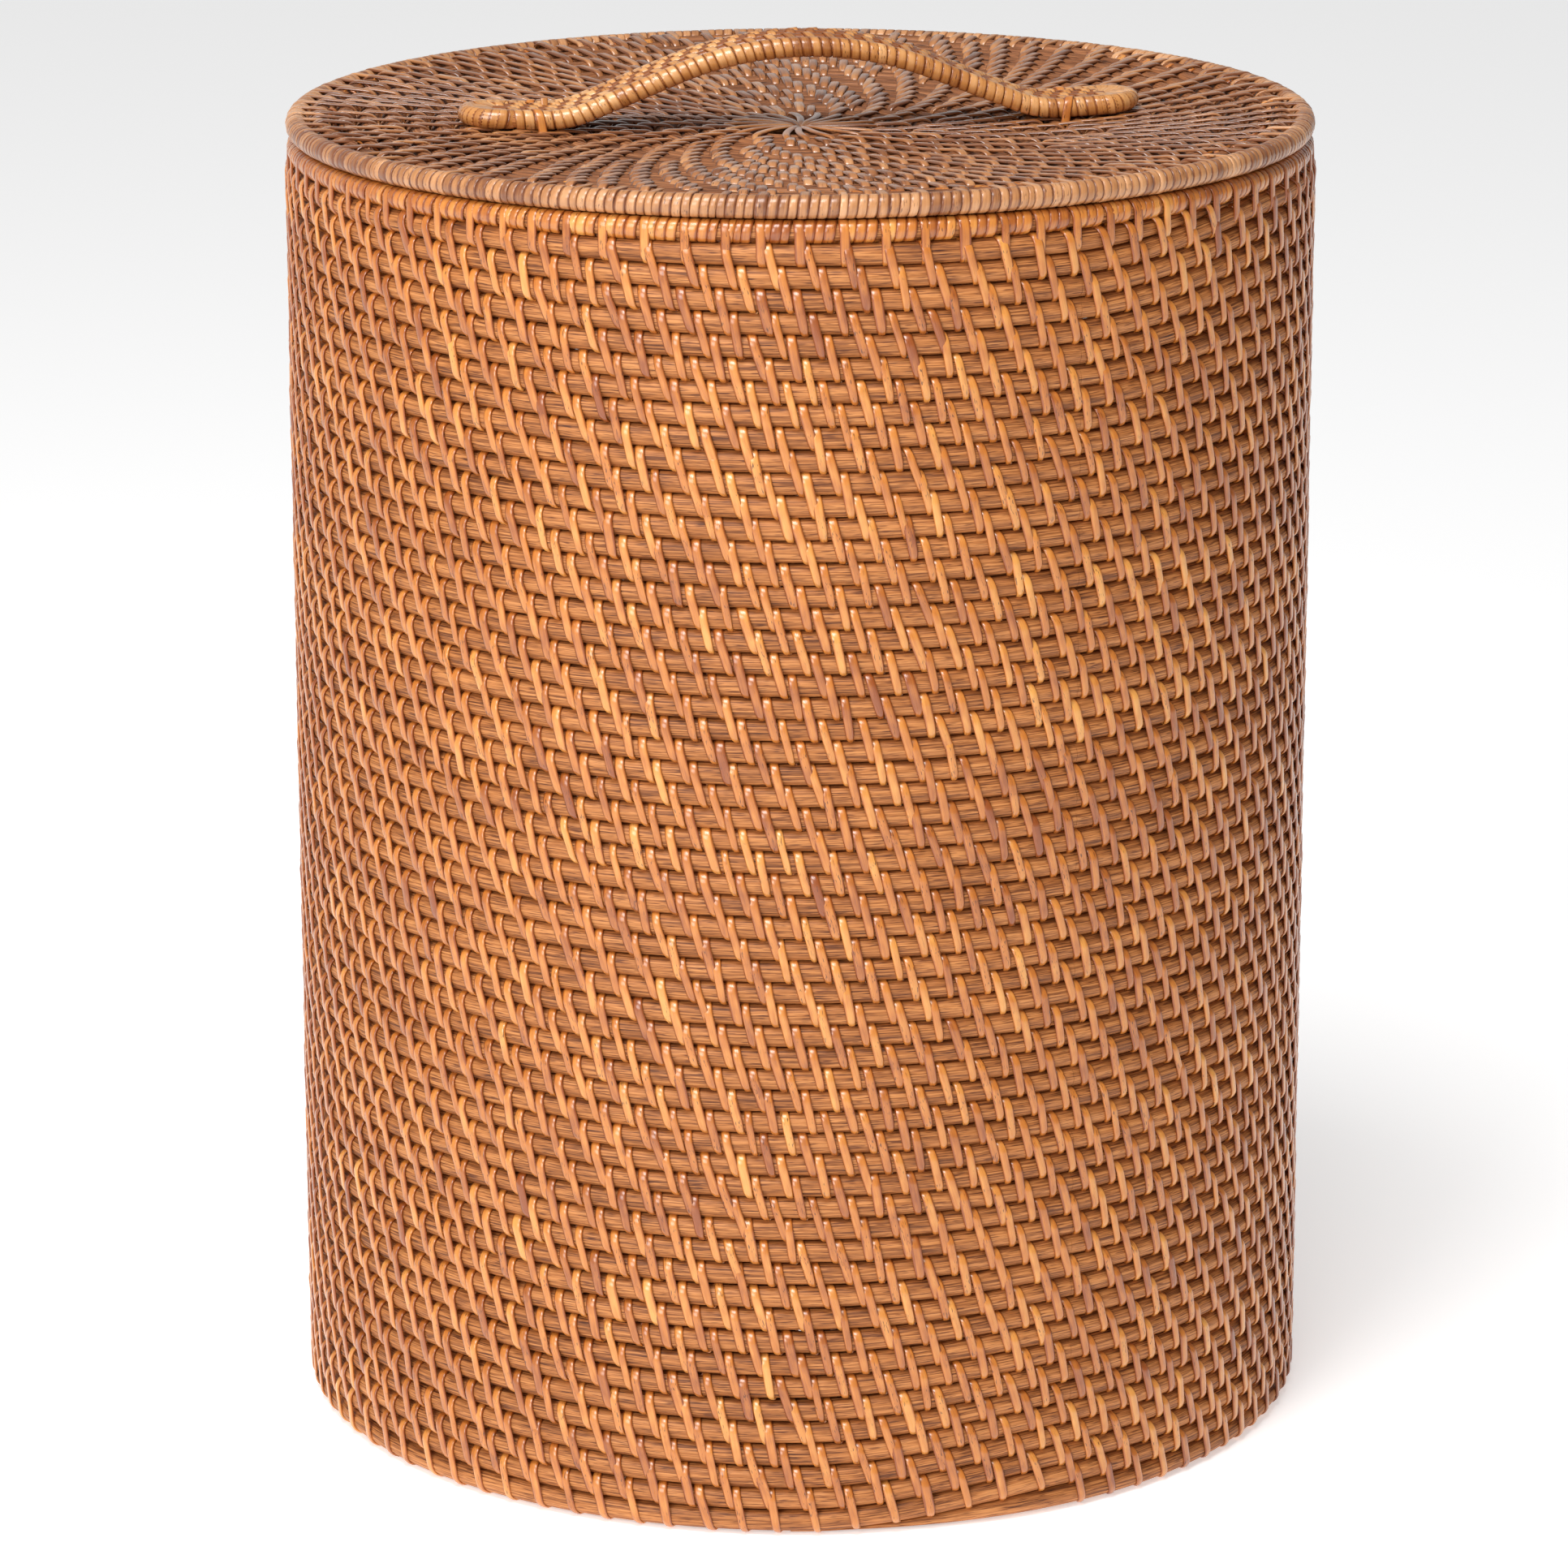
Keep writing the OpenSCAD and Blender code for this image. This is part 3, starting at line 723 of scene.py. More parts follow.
@dataclass
class Disc(Coil):
    """A flat coil, dished or raised, that goes on outwards.

    Args:
        edge_radius: radius at which its height is edge_height.
        edge_height: that height.
        dish: how much lower its middle is.
        face: 1 if its outer face looks up, -1 if it looks down.
        swirl: how far the stitches move round from one course to the next.
        first: first course that has stitches; a star covers those inside it.
    """

    edge_radius: float = 0.0
    edge_height: float = 0.0
    dish: float = 0.0
    face: int = 1
    swirl: float = 5.0 * MM
    first: int = 3
    rays: int = 18

    STITCH = 15.5 * MM
    PEEL_WIDE = 4.2 * MM
    LEAN = -1.6 * MM

    def surface(self, radius: Array) -> tuple[Array, Array]:
        """Height and slope of the courses' middles at a radius."""
        part = radius / self.edge_radius
        height = self.edge_height - self.dish * (1 - part ** 2)
        return height, 2 * self.dish * part / self.edge_radius

    def where(self, t: Array, on: Array, out: Array) -> Array:
        """A point beside the rod's middle line, on being away from the axis."""
        radius = self.pitch * (1 + self.rise.at(t))
        height, slope = self.surface(radius)
        level = 1 / np.sqrt(1 + slope ** 2)
        up = out * self.face
        return around(self.seam + TURN * np.asarray(t),
                      radius + (on - up * slope) * level, height + (on * slope + up) * level)

    def tops(self, rng: np.random.Generator) -> tuple[Array, Array]:
        """Where each stitch starts, and how far it leans, in turns.

        The stitches of each course follow those of the course inside it, a little
        further round. Where that leaves too wide a gap, a new one is put in.
        """
        place = (np.arange(self.rays) + 0.5) / self.rays
        tops, leans = [], []
        for course in range(self.first, self.rise.turns + 1):
            girth = TURN * self.pitch * (1 + course)
            place = place + (self.swirl + rng.normal(0, 0.4, len(place)) * MM) / girth
            place = np.sort(place % 1)
            gap = np.diff(place, append=place[0] + 1) * girth
            wide = gap > self.STITCH * rng.uniform(1.22, 1.62, len(place))
            place = np.sort(np.concatenate([place, (place + gap / girth / 2)[wide]]) % 1)
            tops.append(course + place)
            leans.append(self.LEAN * rng.normal(1, 0.3, len(place)) / girth)
        top, lean = np.concatenate(tops), np.concatenate(leans)
        last = self.rise.turns + (self.rise.splice * 0.6 if self.rise.spliced_end else 0)
        keep = top < last
        return top[keep], lean[keep]

    def star(self, rng: np.random.Generator) -> Sweep:
        """The rays of peel that start the coil."""
        count, stations = self.rays, 9
        reach = self.pitch * (self.first + 0.9)
        run = np.linspace(0, 1, stations)
        radius = 1.2 * MM + (reach - 1.2 * MM) * run
        angle = self.seam + TURN * (np.arange(count)[:, None] + 0.5
                                    + rng.normal(0, 0.1, (count, 1))) / count
        angle = angle + 0.22 * run[None] ** 2 + 0.5
        arch = self.rod + 0.9 * MM * np.sin(np.pi * run) ** 0.6 - self.rod * 0.9 * (
            ease((run - 0.86) / 0.14)) - 1.2 * MM * (1 - ease(run / 0.15))
        stack = (np.arange(count) % 3)[:, None] * 0.28 * MM * (1 - ease(run / 0.5))
        height, _ = self.surface(radius)
        line = around(angle, radius[None], height[None] + self.face * (arch[None] + stack))
        facing = np.zeros_like(line)
        facing[..., 2] = self.face
        width = np.minimum(3.3 * MM, 0.9 * MM + 0.30 * radius)[None] * (
            1 - 0.45 * ease((run - 0.8) / 0.2))
        return Sweep(line, facing, width * np.ones((count, 1)), self.peel * np.ones(
            (count, stations)), Profile.PEEL.points(), shades(count, rng) + 0.2,
            own=rng.random(count))


@dataclass
class Ring:
    """A level ring of rod wrapped closely with peel, sewn to the course beside it.

    Args:
        radius: distance of the rod's middle from the axis.
        height: height of the rod's middle.
        rod: radius of the rod.
        peel: thickness of the wrapping.
        wide: mean width of one wrap.
        beside: from the rod's middle to the middle of the course that it is sewn to,
            as (outwards, upwards).
        beside_rod: radius of that course.
        each: every so manieth wrap goes round that course too.
    """

    radius: float
    height: float
    rod: float
    peel: float
    wide: float
    beside: tuple[float, float]
    beside_rod: float
    each: int

    SIDES = 10
    STATIONS = 180
    LEAN = 1.0  # wraps by which each wrap moves on while it goes round

    def rods(self) -> Sweep:
        """The bare ring, in four lengths."""
        angle = np.linspace(0, TURN, 4 * self.STATIONS // 4 + 1)
        quarter = len(angle) // 4
        angle = np.stack([angle[i * quarter:(i + 1) * quarter + 1] for i in range(4)])
        line = around(angle, self.radius, self.height)
        facing = around(angle, 1.0, 0.0)
        thick = np.full(angle.shape, self.rod - 0.05 * MM)
        return Sweep(line, facing, 2 * thick, thick, round_section(self.SIDES), np.zeros(4),
                     start=np.arange(4) * self.radius * TURN / 4)

    def belt(self, both: bool) -> tuple[Array, Array]:
        """One way round the cross-section, from the hidden side back to it.

        Args:
            both: whether it goes round the course beside it as well.

        Returns:
            Points as (outwards, upwards) from the rod's middle, and the way they face.
        """
        near = np.array(self.beside)
        away = math.atan2(-near[1], -near[0])
        if not both:
            angle = away + math.pi + np.linspace(0, TURN, 15)
            facing = np.stack([np.cos(angle), np.sin(angle)], axis=-1)
            return facing * self.rod, facing
        parts = [(near, self.beside_rod, math.pi * 1.06, 1.5 * math.pi, 5),
                 (np.zeros(2), self.rod, -0.5 * math.pi, 0.5 * math.pi, 9),
                 (near, self.beside_rod, 0.5 * math.pi, math.pi * 0.94, 5)]
        points, faces = [], []
        for middle, size, start, end, count in parts:
            angle = away + np.linspace(start, end, count)
            facing = np.stack([np.cos(angle), np.sin(angle)], axis=-1)
            points.append(middle + facing * size)
            faces.append(facing)
        return np.concatenate(points), np.concatenate(faces)

    def wraps(self, rng: np.random.Generator, lean: float) -> list[Sweep]:
        """All its wraps: the short ones, and the long ones that sew it on.

        Args:
            rng: source of the unevenness.
            lean: distance that a long wrap drifts over its face.

        Returns:
            The two kinds.
        """
        girth = TURN * self.radius
        count = round(girth / self.wide)
        wide = rng.normal(1, 0.14, count).clip(0.66, 1.3)
        wide *= girth / wide.sum()
        place = (np.cumsum(wide) - wide / 2) / self.radius
        shade = shades(count, rng)
        own = rng.random(count)
        long = np.arange(count) % self.each == self.each - 1
        made = []
        for both, take in ((False, ~long), (True, long)):
            points, facing = self.belt(both)
            run = np.linspace(0, 1, len(points))
            drift = (lean if both else self.LEAN * self.wide) * (run - 0.5) / self.radius
            angle = place[take][:, None] + drift[None]
            line = around(angle, self.radius + points[None, :, 0],
                          self.height + points[None, :, 1])
            out = around(angle, facing[None, :, 0], facing[None, :, 1])
            width = (wide[take] * 1.02)[:, None] * np.ones(len(points))
            if both:
                width = width * (0.80 + 0.20 * np.sin(np.pi * run))[None]
            height = self.peel * (1.12 if both else 1.0) * rng.normal(
                1, 0.05, take.sum()).clip(0.85, 1.1)[:, None] * np.ones(len(points))
            made.append(Sweep(line, out, width, height, Profile.WRAP.points(), shade[take],
                              own=own[take]))
        return made


# ---------------------------------------------------------------- sub-assemblies


@dataclass
class Finishes:
    """The materials of the whole basket, by the record's slots."""

    core: bpy.types.Material = field(default_factory=lambda: PeeledCore(
        "peeled_core", pale="#d08b50", middle="#b06c36", deep="#6c3a18",
        roughness=0.58).material())
    # Painted shade: a darker copy of the peeled core for the lid's coil, for the deeper shade
    # between the lid's stitches.
    lid_core_painted_shade: bpy.types.Material = field(default_factory=lambda: PeeledCore(
        "lid_core_painted_shade", pale="#b0744a", middle="#8f5630", deep="#4e2b16",
        roughness=0.55).material())
    peel: bpy.types.Material = field(default_factory=lambda: SplitPeel(
        "amber_peel", pale="#e8a352", middle="#cb7a30", deep="#944a18", fleck="#4a1f0a",
        roughness=0.30, gloss=0.75).material())
    lid_peel: bpy.types.Material = field(default_factory=lambda: SplitPeel(
        "lid_peel", pale="#d59a66", middle="#b0703e", deep="#74401e", fleck="#3c1c0c",
        roughness=0.30, gloss=1.0).material())
    pale_peel: bpy.types.Material = field(default_factory=lambda: SplitPeel(
        "honey_peel", pale="#e2aa7a", middle="#c18553", deep="#7e4827", fleck="#4e2613",
        roughness=0.36, gloss=0.5).material())
    handle_peel: bpy.types.Material = field(default_factory=lambda: SplitPeel(
        "golden_peel", pale="#ebb073", middle="#cd8a48", deep="#915020", fleck="#4a1f0a",
        roughness=0.32, gloss=0.7).material())


CORE, PEEL, PALE = "rattan_core", "rattan_peel", "rattan_peel_pale"
ROD = 4.3 * MM
LAPPED = 0.3 * MM  # how far a stitch's start stands over the end of the one beside it
SWELL = 0.38 * MM  # the coiled rod is pressed a little fuller than its drawn size
PEEL_THICK = 0.9 * MM
RIM_ROD = 4.0 * MM
DISC_TURNS = 21  # whole turns of the base's coil and of the lid's
SPLICE = 0.09  # part of a turn in which a rod's cut end tapers
LONG_WRAP_EACH = 4  # every fourth wrap of a ring also sews it to the course beside it
SEAM = math.radians(-66.8)  # the basket's turns are counted from here
LID_SEAM = math.radians(100.0)


@dataclass
class Basket:
    """The standing basket: base, wall and wrapped rim."""

    finishes: Finishes
    courses: int = 59
    body: str = "basket"

    def build(self) -> None:
        """Builds and dresses all of it."""
        rng = np.random.default_rng(7)
        _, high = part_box("wall_coil")
        radius = high.x - ROD
        foot = ROD + SWELL + 1.2 * PEEL_THICK + 0.1 * MM  # the sewing stands on the floor
        top = high.z - ROD
        wall = Wall("wall", self.body, Rise(self.courses - 1, SPLICE, 16),
                    (top - foot) / (self.courses - 1), ROD, PEEL_THICK, SEAM,
                    radius=radius, foot=foot)
        show(wall.rods(), "wall_coil", self.body, CORE, self.finishes.core, "wall_coil")
        tops, lean = wall.tops(rng)
        outer = wall.outer_stitches(tops, lean, rng, wall.PEEL_WIDE)
        inner = wall.inner_stitches(tops, lean, rng, wall.PEEL_WIDE)
        show(outer, "wall_stitches", self.body, PEEL, self.finishes.peel, "wall_sewing")
        show(inner, "wall_inner_stitches", self.body, PEEL, self.finishes.peel, "wall_sewing")

        rim_low, rim_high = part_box("rim_rod")
        rim_height = (rim_low.z + rim_high.z) / 2
        rim = Ring(radius, rim_height, RIM_ROD, PEEL_THICK, 4.0 * MM,
                   (0.0, top - rim_height), ROD, LONG_WRAP_EACH)
        show_ring(rim, rng, -2.5 * MM, "rim", self.body, PALE, self.finishes.core,
                  self.finishes.peel)

        base_low, base_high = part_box("base_coil")
        last = base_high.x - ROD
        base = Disc("base", self.body, Rise(DISC_TURNS, SPLICE, 9, level_start=False),
                    last / (DISC_TURNS + 1), ROD, PEEL_THICK, SEAM, edge_radius=last,
                    edge_height=base_low.z + ROD + 0.3 * MM, dish=-4.6 * MM, face=-1)
        build_disc(base, rng, self.finishes.core, self.finishes.peel, "base")


@dataclass
class Lid:
    """The lid: dished coil, wrapped rim and the ring that keeps it centred."""

    finishes: Finishes
    body: str = "lid"

    def build(self) -> None:
        """Builds and dresses all of it."""
        rng = np.random.default_rng(19)
        _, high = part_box("lid_coil")
        rim_low, rim_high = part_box("lid_rim_rod")
        rim_radius = rim_high.x - RIM_ROD
        rim_height = (rim_low.z + rim_high.z) / 2
        last = high.x - ROD
        lid = Disc("lid", self.body, Rise(DISC_TURNS, SPLICE, 9, level_start=False),
                   last / (DISC_TURNS + 1), ROD, PEEL_THICK, LID_SEAM,
                   edge_radius=rim_radius, edge_height=rim_height, dish=9 * MM, face=1)
        build_disc(lid, rng, self.finishes.lid_core_painted_shade, self.finishes.lid_peel, "lid")
        last_height, _ = lid.surface(last)
        rim = Ring(rim_radius, rim_height, RIM_ROD, PEEL_THICK, 3.9 * MM,
                   (last - rim_radius, last_height - rim_height), ROD, LONG_WRAP_EACH)
        show_ring(rim, rng, 3.0 * MM, "lid_rim", self.body, PALE, self.finishes.core,
                  self.finishes.pale_peel)
        ring_low, ring_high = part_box("lid_ring_rod")
        ring_rod = (ring_high.z - ring_low.z) / 2
        ring_height = (ring_low.z + ring_high.z) / 2
        ring_radius = ring_high.x - ring_rod
        over, _ = lid.surface(ring_radius)
        ring = Ring(ring_radius, ring_height, ring_rod, 0.7 * MM, 4.2 * MM,
                    (0.0, over - ring_height), ROD, LONG_WRAP_EACH)
        show_ring(ring, rng, 2.0 * MM, "lid_ring", self.body, PEEL, self.finishes.core,
                  self.finishes.peel)
        Handle(self.finishes, lid).build()


@dataclass
class Handle:
    """The strap handle: an edge rod bent to a long loop, three inner rods, and the weave.

    A place on the strap is given by its distance along the middle line from the crown,
    its distance across, and its height above the middle of the rods.

    Args:
        finishes: the materials.
        lid: the disc that it stands on.
    """

    finishes: Finishes
    lid: Disc
    body: str = "lid"

    CROWN_RADIUS = 150 * MM
    BEND_RADIUS = 50 * MM
    FOOT = 35 * MM
    EDGE_ROD = 3.7 * MM
    SKIN = 0.6 * MM
    PICK = 4.15 * MM  # from one crossing strip to the next
    RAISED = 0.9 * MM  # how far the inner rods sit above the edge rod's middle
    DOME = 1.6 * MM  # how far the strap's middle is bowed up at the crown
    TOP_DRIFT = 7.5 * MM
    EDGE_DRIFT = 3.0 * MM
    WRAPPED = 122  # degrees round the edge rod, from its outermost line, under a strip
    TIE_WIDE = 3.8 * MM
    TIE_INSET = 33 * MM

    def __post_init__(self) -> None:
        """Works out the arch of the strap from the frame's boxes."""
        low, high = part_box("handle_frame")
        _, end_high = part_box("handle_end_wraps")
        _, inner_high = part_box("handle_rod_middle")
        self.edge = self.EDGE_ROD
        self.half = high.y - self.edge
        self.inner = inner_high.y
        self.between = (self.half - self.edge) * 2 / 3
        reach = end_high.x
        self.foot_x = reach - self.FOOT
        rise = self.lid.surface(reach)[0] - self.lid.surface(self.foot_x)[0]
        self.tilt = math.atan(rise / self.FOOT)
        self.turn = self.FOOT - self.half - self.edge - self.SKIN
        crown = high.z - self.edge - self.CROWN_RADIUS
        bend = np.array([self.foot_x - self.BEND_RADIUS * math.sin(self.tilt),
                         low.z + self.edge + self.BEND_RADIUS])
        apart = bend - (0, crown)
        self.fall = math.atan2(*apart) - math.acos(
            (self.CROWN_RADIUS + self.BEND_RADIUS) / np.linalg.norm(apart))
        ramp = math.sqrt(apart @ apart - (self.CROWN_RADIUS + self.BEND_RADIUS) ** 2)
        self.crown_z, self.bend = crown, bend
        self.stops = np.cumsum([self.CROWN_RADIUS * self.fall, ramp,
                                self.BEND_RADIUS * (self.fall + self.tilt)])
        self.turn_at = self.stops[2] + self.turn

    def place(self, s: Array, across: Array, up: Array) -> Array:
        """A point of the strap.

        Args:
            s: distance along its middle line, to the right of the crown.
            across: distance towards the back.
            up: distance above the middle of the rods.

        Returns:
            The points.
        """
        s, across, up = np.broadcast_arrays(s, across, up)
        d, side = np.abs(s), np.sign(s)
        up = up + self.DOME * np.maximum(0, 1 - (across / self.half) ** 2) * (
            1 - ease(d / self.stops[1]))
        crown, ramp, foot = self.stops
        on_crown = np.minimum(d, crown) / self.CROWN_RADIUS
        on_bend = np.clip(d - ramp, 0, foot - ramp) / self.BEND_RADIUS
        fall = on_crown - on_bend
        x = self.CROWN_RADIUS * np.sin(on_crown) + np.clip(
            d - crown, 0, ramp - crown) * math.cos(self.fall)
        z = self.crown_z + self.CROWN_RADIUS * np.cos(on_crown) - np.clip(
            d - crown, 0, ramp - crown) * math.sin(self.fall)
        x = np.where(d > ramp, self.bend[0] - self.BEND_RADIUS * np.sin(fall), x)
        z = np.where(d > ramp, self.bend[1] - self.BEND_RADIUS * np.cos(fall), z)
        beyond = np.maximum(d - foot, 0)
        x = x + beyond * math.cos(self.tilt) + up * np.sin(fall)
        z = z + beyond * math.sin(self.tilt) + up * np.cos(fall)
        return np.stack([x * np.where(side == 0, 1, side), across, z], axis=-1)

    def laid(self, s: Array, across: Array, up: Array, turn: Array) -> tuple[Array, Array]:
        """A line on the strap and the way it faces.

        Args:
            s: distances along.
            across: distances across.
            up: heights.
            turn: the way it faces, as an angle from across towards up.

        Returns:
            The line and its facing.
        """
        line = self.place(s, across, up)
        step = 0.1 * MM
        ahead = self.place(s, across + step * np.cos(turn), up + step * np.sin(turn))
        return line, unit(ahead - line)

    def edge_rod(self) -> Sweep:
        """The rod bent round the strap's edge."""
        bend = np.linspace(-math.pi / 2, math.pi / 2, 13)
        run = np.linspace(-self.turn_at, self.turn_at, 81)[1:-1]
        s = np.concatenate([run, self.turn_at + self.half * np.cos(bend), -run,
                            -self.turn_at - self.half * np.cos(bend), run[:1]])
        across = np.concatenate([np.full(79, -self.half), self.half * np.sin(bend),
                                 np.full(79, self.half), -self.half * np.sin(bend),
                                 [-self.half]])
        line, facing = self.laid(s, across, 0 * s, np.full(len(s), math.pi / 2))
        return self.rod(line, facing, self.edge - 0.06 * MM)

    def rod(self, line: Array, facing: Array, radius: float) -> Sweep:
        """One round rod along a line."""
        thick = np.full((1, len(line)), radius)
        return Sweep(line[None], facing[None], 2 * thick, thick, round_section(12),
                     np.zeros(1))

    def inner_rod(self, across: float) -> Sweep:
        """One straight inner rod, shaved thin where it ends inside the loop."""
        most = self.turn_at + (2 * MM if across == 0 else -1 * MM)
        s = np.linspace(-most, most, 81)
        line, facing = self.laid(s, across + 0 * s, self.RAISED + 0 * s,
                                 np.full(len(s), math.pi / 2))
        return self.rod(line, facing, self.inner - 0.04 * MM)

    def pick(self, over: bool) -> tuple[Array, Array, Array]:
        """One strip round the strap, over or under the outer two of the inner rods.

        Args:
            over: whether it goes over the outer two and under the middle one.

        Returns:
            Distances across, heights and drift along the strap, from below the middle
            round the back edge, over the top and round the front edge.
        """
        radius = self.edge + 0.02 * MM
        high = self.inner + self.RAISED + 0.02 * MM
        low = self.RAISED - self.inner - self.SKIN
        under = low - self.SKIN - 0.1 * MM
        arc = np.radians(np.linspace(-self.WRAPPED, self.WRAPPED, 11))
        ends = radius * np.array([math.cos(arc[-1]), math.sin(arc[-1])])
        heights = (high, low, high) if over else (low, high, low)
        marks = np.array([(self.half + ends[0], ends[1]), (self.between, heights[0]),
                          (0, heights[1]), (-self.between, heights[2]),
                          (-self.half - ends[0], ends[1])])
        part = ease(np.linspace(0, 1, 6)[1:])
        level = np.linspace(0, 1, 6)[1:]
        top = np.concatenate([np.stack([a[0] + (b[0] - a[0]) * level,
                                        a[1] + (b[1] - a[1]) * part], axis=-1)
                              for a, b in zip(marks[:-1], marks[1:])])[:-1]
        back = np.stack([self.half + radius * np.cos(arc), radius * np.sin(arc)], axis=-1)
        front = np.stack([-self.half - radius * np.cos(arc[::-1]),
                          radius * np.sin(arc[::-1])], axis=-1)
        half = np.array([(0, under), (self.between, under)])
        points = np.concatenate([half, back, top, front, half[::-1] * (-1, 1)])
        below = self.PICK - self.TOP_DRIFT - 1.4 * self.EDGE_DRIFT
        knots = np.cumsum([0, len(half), len(back), len(top), len(front), len(half) - 1])
        drift = np.interp(np.arange(len(points)), knots, np.cumsum(
            [0, below / 2, 0.4 * self.EDGE_DRIFT, self.TOP_DRIFT, self.EDGE_DRIFT,
             below / 2])) - below / 2 - 0.4 * self.EDGE_DRIFT - self.TOP_DRIFT / 2
        return points[:, 0], points[:, 1], drift

    def weave(self, rng: np.random.Generator) -> Sweep:
        """The crossing strips, every other one over the outer two inner rods."""
        count = int(2 * self.turn_at / self.PICK)
        start = (np.arange(count) - (count - 1) / 2) * self.PICK
        start = start + rng.normal(0, 0.18, count) * MM
        lines, facings = [], []
        for number, s in enumerate(start):
            across, up, drift = self.pick(number % 2 == 0)
            slope = np.arctan2(np.gradient(up), np.gradient(across)) - math.pi / 2
            line, facing = self.laid(s + drift, across, up, slope)
            lines.append(line)
            facings.append(facing)
        width = self.PICK * rng.normal(0.97, 0.035, count)[:, None] * np.ones(len(across))
        return Sweep(np.stack(lines), np.stack(facings), width, np.full(
            width.shape, self.SKIN), Profile.WRAP.points(), shades(count, rng) + 0.15,
            own=rng.random(count))

    def end_wraps(self, rng: np.random.Generator) -> Sweep:
        """The strips that fan round both ends of the loop."""
        count, most = 18, math.pi / 2 + 0.42
        arc = np.radians(np.linspace(self.WRAPPED, -135, 13))
        radius = self.edge + 0.02 * MM
        across = np.concatenate([[2.5 * MM, 5 * MM], self.half + radius * np.cos(arc),
                                 [5 * MM, 2.5 * MM]])
        up = np.concatenate([np.array([2.2, 2.9]) * MM, radius * np.sin(arc),
                             np.array([-2.9, -2.4]) * MM])
        turn = np.concatenate([np.full(2, 1.7), arc, np.full(2, -1.7)])
        lines, facings = [], []
        for end in (-1, 1):
            for k in range(count):
                fan = most * (2 * (k + 0.5) / count - 1) + rng.normal(0, 0.03)
                sway = fan + np.linspace(-0.10, 0.16, len(across))
                out = np.stack([np.cos(sway), np.sin(sway)])
                line = self.place(end * (self.turn_at + across * out[0]), across * out[1], up)
                step = 0.1 * MM
                far, high = across + step * np.cos(turn), up + step * np.sin(turn)
                ahead = self.place(end * (self.turn_at + far * out[0]), far * out[1], high)
                lines.append(line)
                facings.append(unit(ahead - line))
        wide = 4.7 * MM * rng.normal(1, 0.06, 2 * count)[:, None] * (
            across / (self.half + self.edge)).clip(0.3)[None]
        return Sweep(np.stack(lines), np.stack(facings), wide, np.full(wide.shape, self.SKIN),
                     Profile.WRAP.points(), shades(2 * count, rng) + 0.15,
                     own=rng.random(2 * count))

    def ties(self, rng: np.random.Generator, end: int) -> Sweep:
        """The two peel loops that tie one end of the strap down to the lid."""
        arc = np.radians(np.linspace(50, 180, 9))
        radius = self.edge + self.SKIN + 0.05 * MM
        lines, facings = [], []
        at = self.turn_at + self.half + self.edge + self.SKIN - self.TIE_INSET
        for side in (-1, 1):
            over = self.half * side + side * -radius * np.cos(arc)
            across = np.concatenate([over, np.full(4, over[-1] + side * 0.1 * MM)])
            up = np.concatenate([radius * np.sin(arc), np.linspace(-1.5, -7.0, 4) * MM])
            turn = np.concatenate([arc, np.full(4, math.pi)])
            turn = turn if side < 0 else math.pi - turn
            drift = np.linspace(1.2, -2.6, len(across)) * MM
            line, facing = self.laid(end * (at + drift), across, up, turn)
            lines.append(line)
            facings.append(facing)
        wide = np.full((2, len(across)), self.TIE_WIDE)
        return Sweep(np.stack(lines), np.stack(facings), wide, np.full(wide.shape, self.SKIN),
                     Profile.PEEL.points(), rng.normal(0.1, 0.2, 2), own=rng.random(2))

    def peg(self) -> Sweep:
        """The stub of a strip that was cut off proud of the weave, by the left foot."""
        s, across = np.full(5, -self.stops[2] + 3 * MM), np.full(5, 5.5 * MM)
        up = self.RAISED + self.inner + np.linspace(-0.5, 2.6, 5) * MM
        line, facing = self.laid(s, across + np.linspace(0, 0.8, 5) * MM, up,
                                 np.full(5, math.pi))
        return Sweep(line[None], facing[None], np.full((1, 5), 3.0 * MM),
                     np.full((1, 5), 0.9 * MM), Profile.WRAP.points(), np.zeros(1))

    def build(self) -> None:
        """Builds and dresses all of it."""
        rng = np.random.default_rng(31)
        core, pale = self.finishes.core, self.finishes.handle_peel
        show(self.edge_rod(), "handle_edge_rod", self.body, CORE, core, "handle_frame")
        for name, across in (("front", -1), ("middle", 0), ("back", 1)):
            show(self.inner_rod(across * self.between), f"handle_{name}_rod", self.body, PALE,
                 pale, f"handle_rod_{name}")
        show(self.weave(rng), "handle_strips", self.body, PALE, pale, "handle_weave")
        show(self.end_wraps(rng), "handle_end_strips", self.body, PALE, pale,
             "handle_end_wraps")
        show(self.peg(), "handle_peg", self.body, PALE, pale, "handle_weave")
        for name, end in (("left", -1), ("right", 1)):
            show(self.ties(rng, end), f"handle_{name}_ties", self.body, PEEL,
                 self.finishes.peel, f"handle_tie_{name}")


def show(sweep: Sweep, name: str, body: str, slot: str, finish: bpy.types.Material,
         *stands_for: str) -> None:
    """Shows a sweep as one piece or several."""
    for part in sweep.split(name):
        part.show(body, slot, finish, stands_for)


def show_ring(ring: Ring, rng: np.random.Generator, lean: float, name: str, body: str,
              slot: str, core: bpy.types.Material, peel: bpy.types.Material) -> None:
    """Shows a wrapped ring.

    Args:
        ring: the ring.
        rng: source of the unevenness.
        lean: distance that a long wrap drifts over its face.
        name: the start of the names of its pieces and of its nodes in the frame.
        body: the frame's body that it rides on.
        slot: the record's material slot for the wrapping.
        core: material of the rod.
        peel: material of the wrapping.
    """
    show(ring.rods(), name + "_rod", body, CORE, core, name + "_rod")
    for kind, wraps in zip(("wraps", "long_wraps"), ring.wraps(rng, lean)):
        show(wraps, f"{name}_{kind}", body, slot, peel, name + "_wrap")


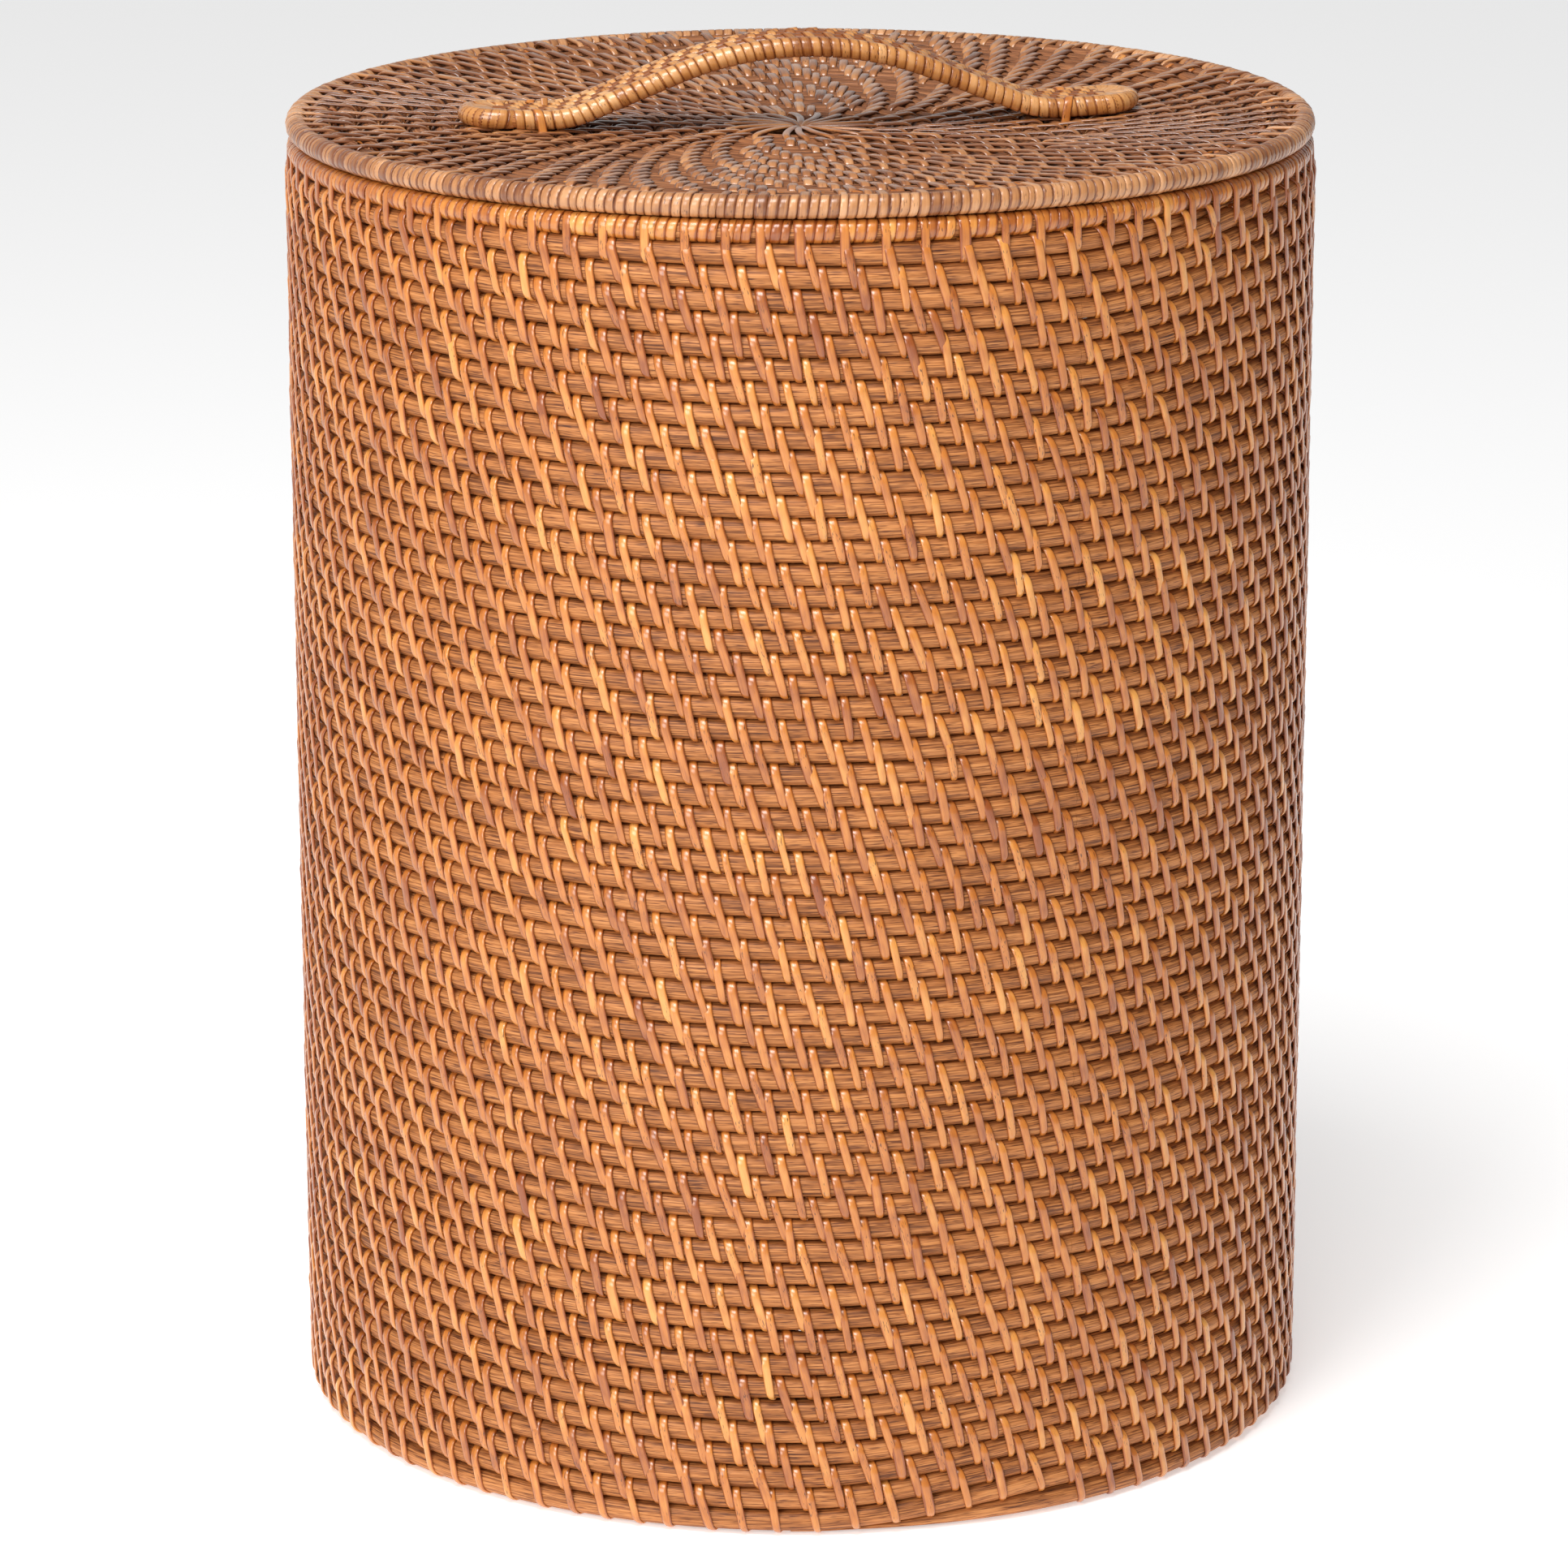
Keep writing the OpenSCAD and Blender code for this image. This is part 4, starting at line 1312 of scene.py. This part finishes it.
def build_disc(disc: Disc, rng: np.random.Generator, core: bpy.types.Material,
               peel: bpy.types.Material, name: str) -> None:
    """Builds a flat coil with its stitches and its star.

    Args:
        disc: the coil.
        rng: source of the unevenness.
        core: material of the rod.
        peel: material of the sewing.
        name: the start of the names of its pieces and of its nodes in the frame.
    """
    show(disc.rods(), name + "_coil", disc.body, CORE, core, name + "_coil",
         name + "_start")
    tops, lean = disc.tops(rng)
    show(disc.outer_stitches(tops, lean, rng, disc.PEEL_WIDE, 6), name + "_stitches",
         disc.body, PEEL, peel, name + "_sewing")
    show(disc.inner_stitches(tops, lean, rng, disc.PEEL_WIDE), name + "_inner_stitches",
         disc.body, PEEL, peel, name + "_sewing")
    show(disc.star(rng), name + "_star", disc.body, PEEL, peel, name + "_star")


# ------------------------------------------------------------------ the studio


@dataclass(frozen=True)
class Studio:
    """A pale floor, soft light from the upper left, and the camera."""

    distance: float = 2.826
    camera_height: float = 1.043
    azimuth: float = -7.8
    pitch_down: float = 15.31
    roll: float = -0.1
    lens: float = 151.4
    sideways: float = -0.0075

    FLOOR_HALF = 30.0  # far enough for its edge to stay out of every view

    def build(self) -> None:
        """Builds floor, light and camera."""
        self.floor()
        self.lights()
        self.camera()

    def floor(self) -> None:
        """A plain pale floor."""
        mesh = bpy.data.meshes.new("floor")
        r = self.FLOOR_HALF
        mesh.from_pydata([(-r, -r, 0), (r, -r, 0), (r, r, 0), (-r, r, 0)], [], [(0, 1, 2, 3)])
        plane = bpy.data.objects.new("floor", mesh)
        bpy.context.scene.collection.objects.link(plane)
        paint = bpy.data.materials.new("floor_paint")
        paint.use_nodes = True
        shader = paint.node_tree.nodes["Principled BSDF"]
        shader.inputs["Base Color"].default_value = linear("#f4f4f4")
        shader.inputs["Roughness"].default_value = 0.8
        shader.inputs["Emission Color"].default_value = linear("#ffffff")
        shader.inputs["Emission Strength"].default_value = 0.46
        mesh.materials.append(paint)

    def lights(self) -> None:
        """A white surround and two soft lamps."""
        world = bpy.data.worlds.new("surround")
        bpy.context.scene.world = world
        world.use_nodes = True
        tree = world.node_tree
        background = tree.nodes["Background"]
        background.inputs["Color"].default_value = (1, 1, 1, 1)
        height = add(tree, "SeparateXYZ", {0: add(tree, "TexCoord").outputs["Generated"]})
        strength = add(tree, "MapRange", {
            "Value": height.outputs[2], "From Min": 0.10, "From Max": 0.45,
            "To Min": 0.64, "To Max": 0.32}).outputs[0]
        shaded = add(tree, "MapRange", {
            "Value": height.outputs[0], "From Min": 0.0, "From Max": 0.9,
            "To Min": 1.0, "To Max": 0.30}).outputs[0]
        tree.links.new(sum_up(tree, "MULTIPLY", strength, shaded),
                       background.inputs["Strength"])
        self.lamp("key", (-2.4, -3.0, 2.2), 2.0, 82)
        self.lamp("overhead", (-0.5, -1.0, 2.9), 1.2, 56)
        bpy.context.scene.view_settings.view_transform = "Standard"

    def lamp(self, name: str, place: tuple[float, float, float], size: float,
             power: float) -> None:
        """A soft square lamp that looks at the basket's middle."""
        data = bpy.data.lights.new(name, "AREA")
        data.size, data.energy = size, power
        lamp = bpy.data.objects.new(name, data)
        lamp.location = place
        lamp.rotation_euler = (Vector((0, 0, 0.3)) - Vector(place)).to_track_quat(
            "-Z", "Y").to_euler()
        bpy.context.scene.collection.objects.link(lamp)

    def camera(self) -> None:
        """The camera, level with the lid's top and a little left of the handle's middle."""
        data = bpy.data.cameras.new("camera")
        data.lens = self.lens
        data.sensor_width = 36
        data.clip_end = 100
        camera = bpy.data.objects.new("camera", data)
        turn = math.radians(self.azimuth)
        camera.location = (
            self.sideways * math.cos(turn) + self.distance * math.sin(turn),
            self.sideways * math.sin(turn) - self.distance * math.cos(turn),
            self.camera_height)
        look = Euler((math.radians(90 - self.pitch_down), 0, turn), "XYZ").to_matrix()
        roll = Euler((0, 0, math.radians(self.roll)), "XYZ").to_matrix()
        camera.rotation_euler = (look @ roll).to_euler()
        bpy.context.scene.collection.objects.link(camera)
        bpy.context.scene.camera = camera


def main() -> None:
    """Builds everything in order."""
    logging.basicConfig(level=logging.INFO, format="%(message)s")
    finishes = Finishes()
    Basket(finishes).build()
    Lid(finishes).build()
    Studio().build()


if __name__ == "__main__":
    main()
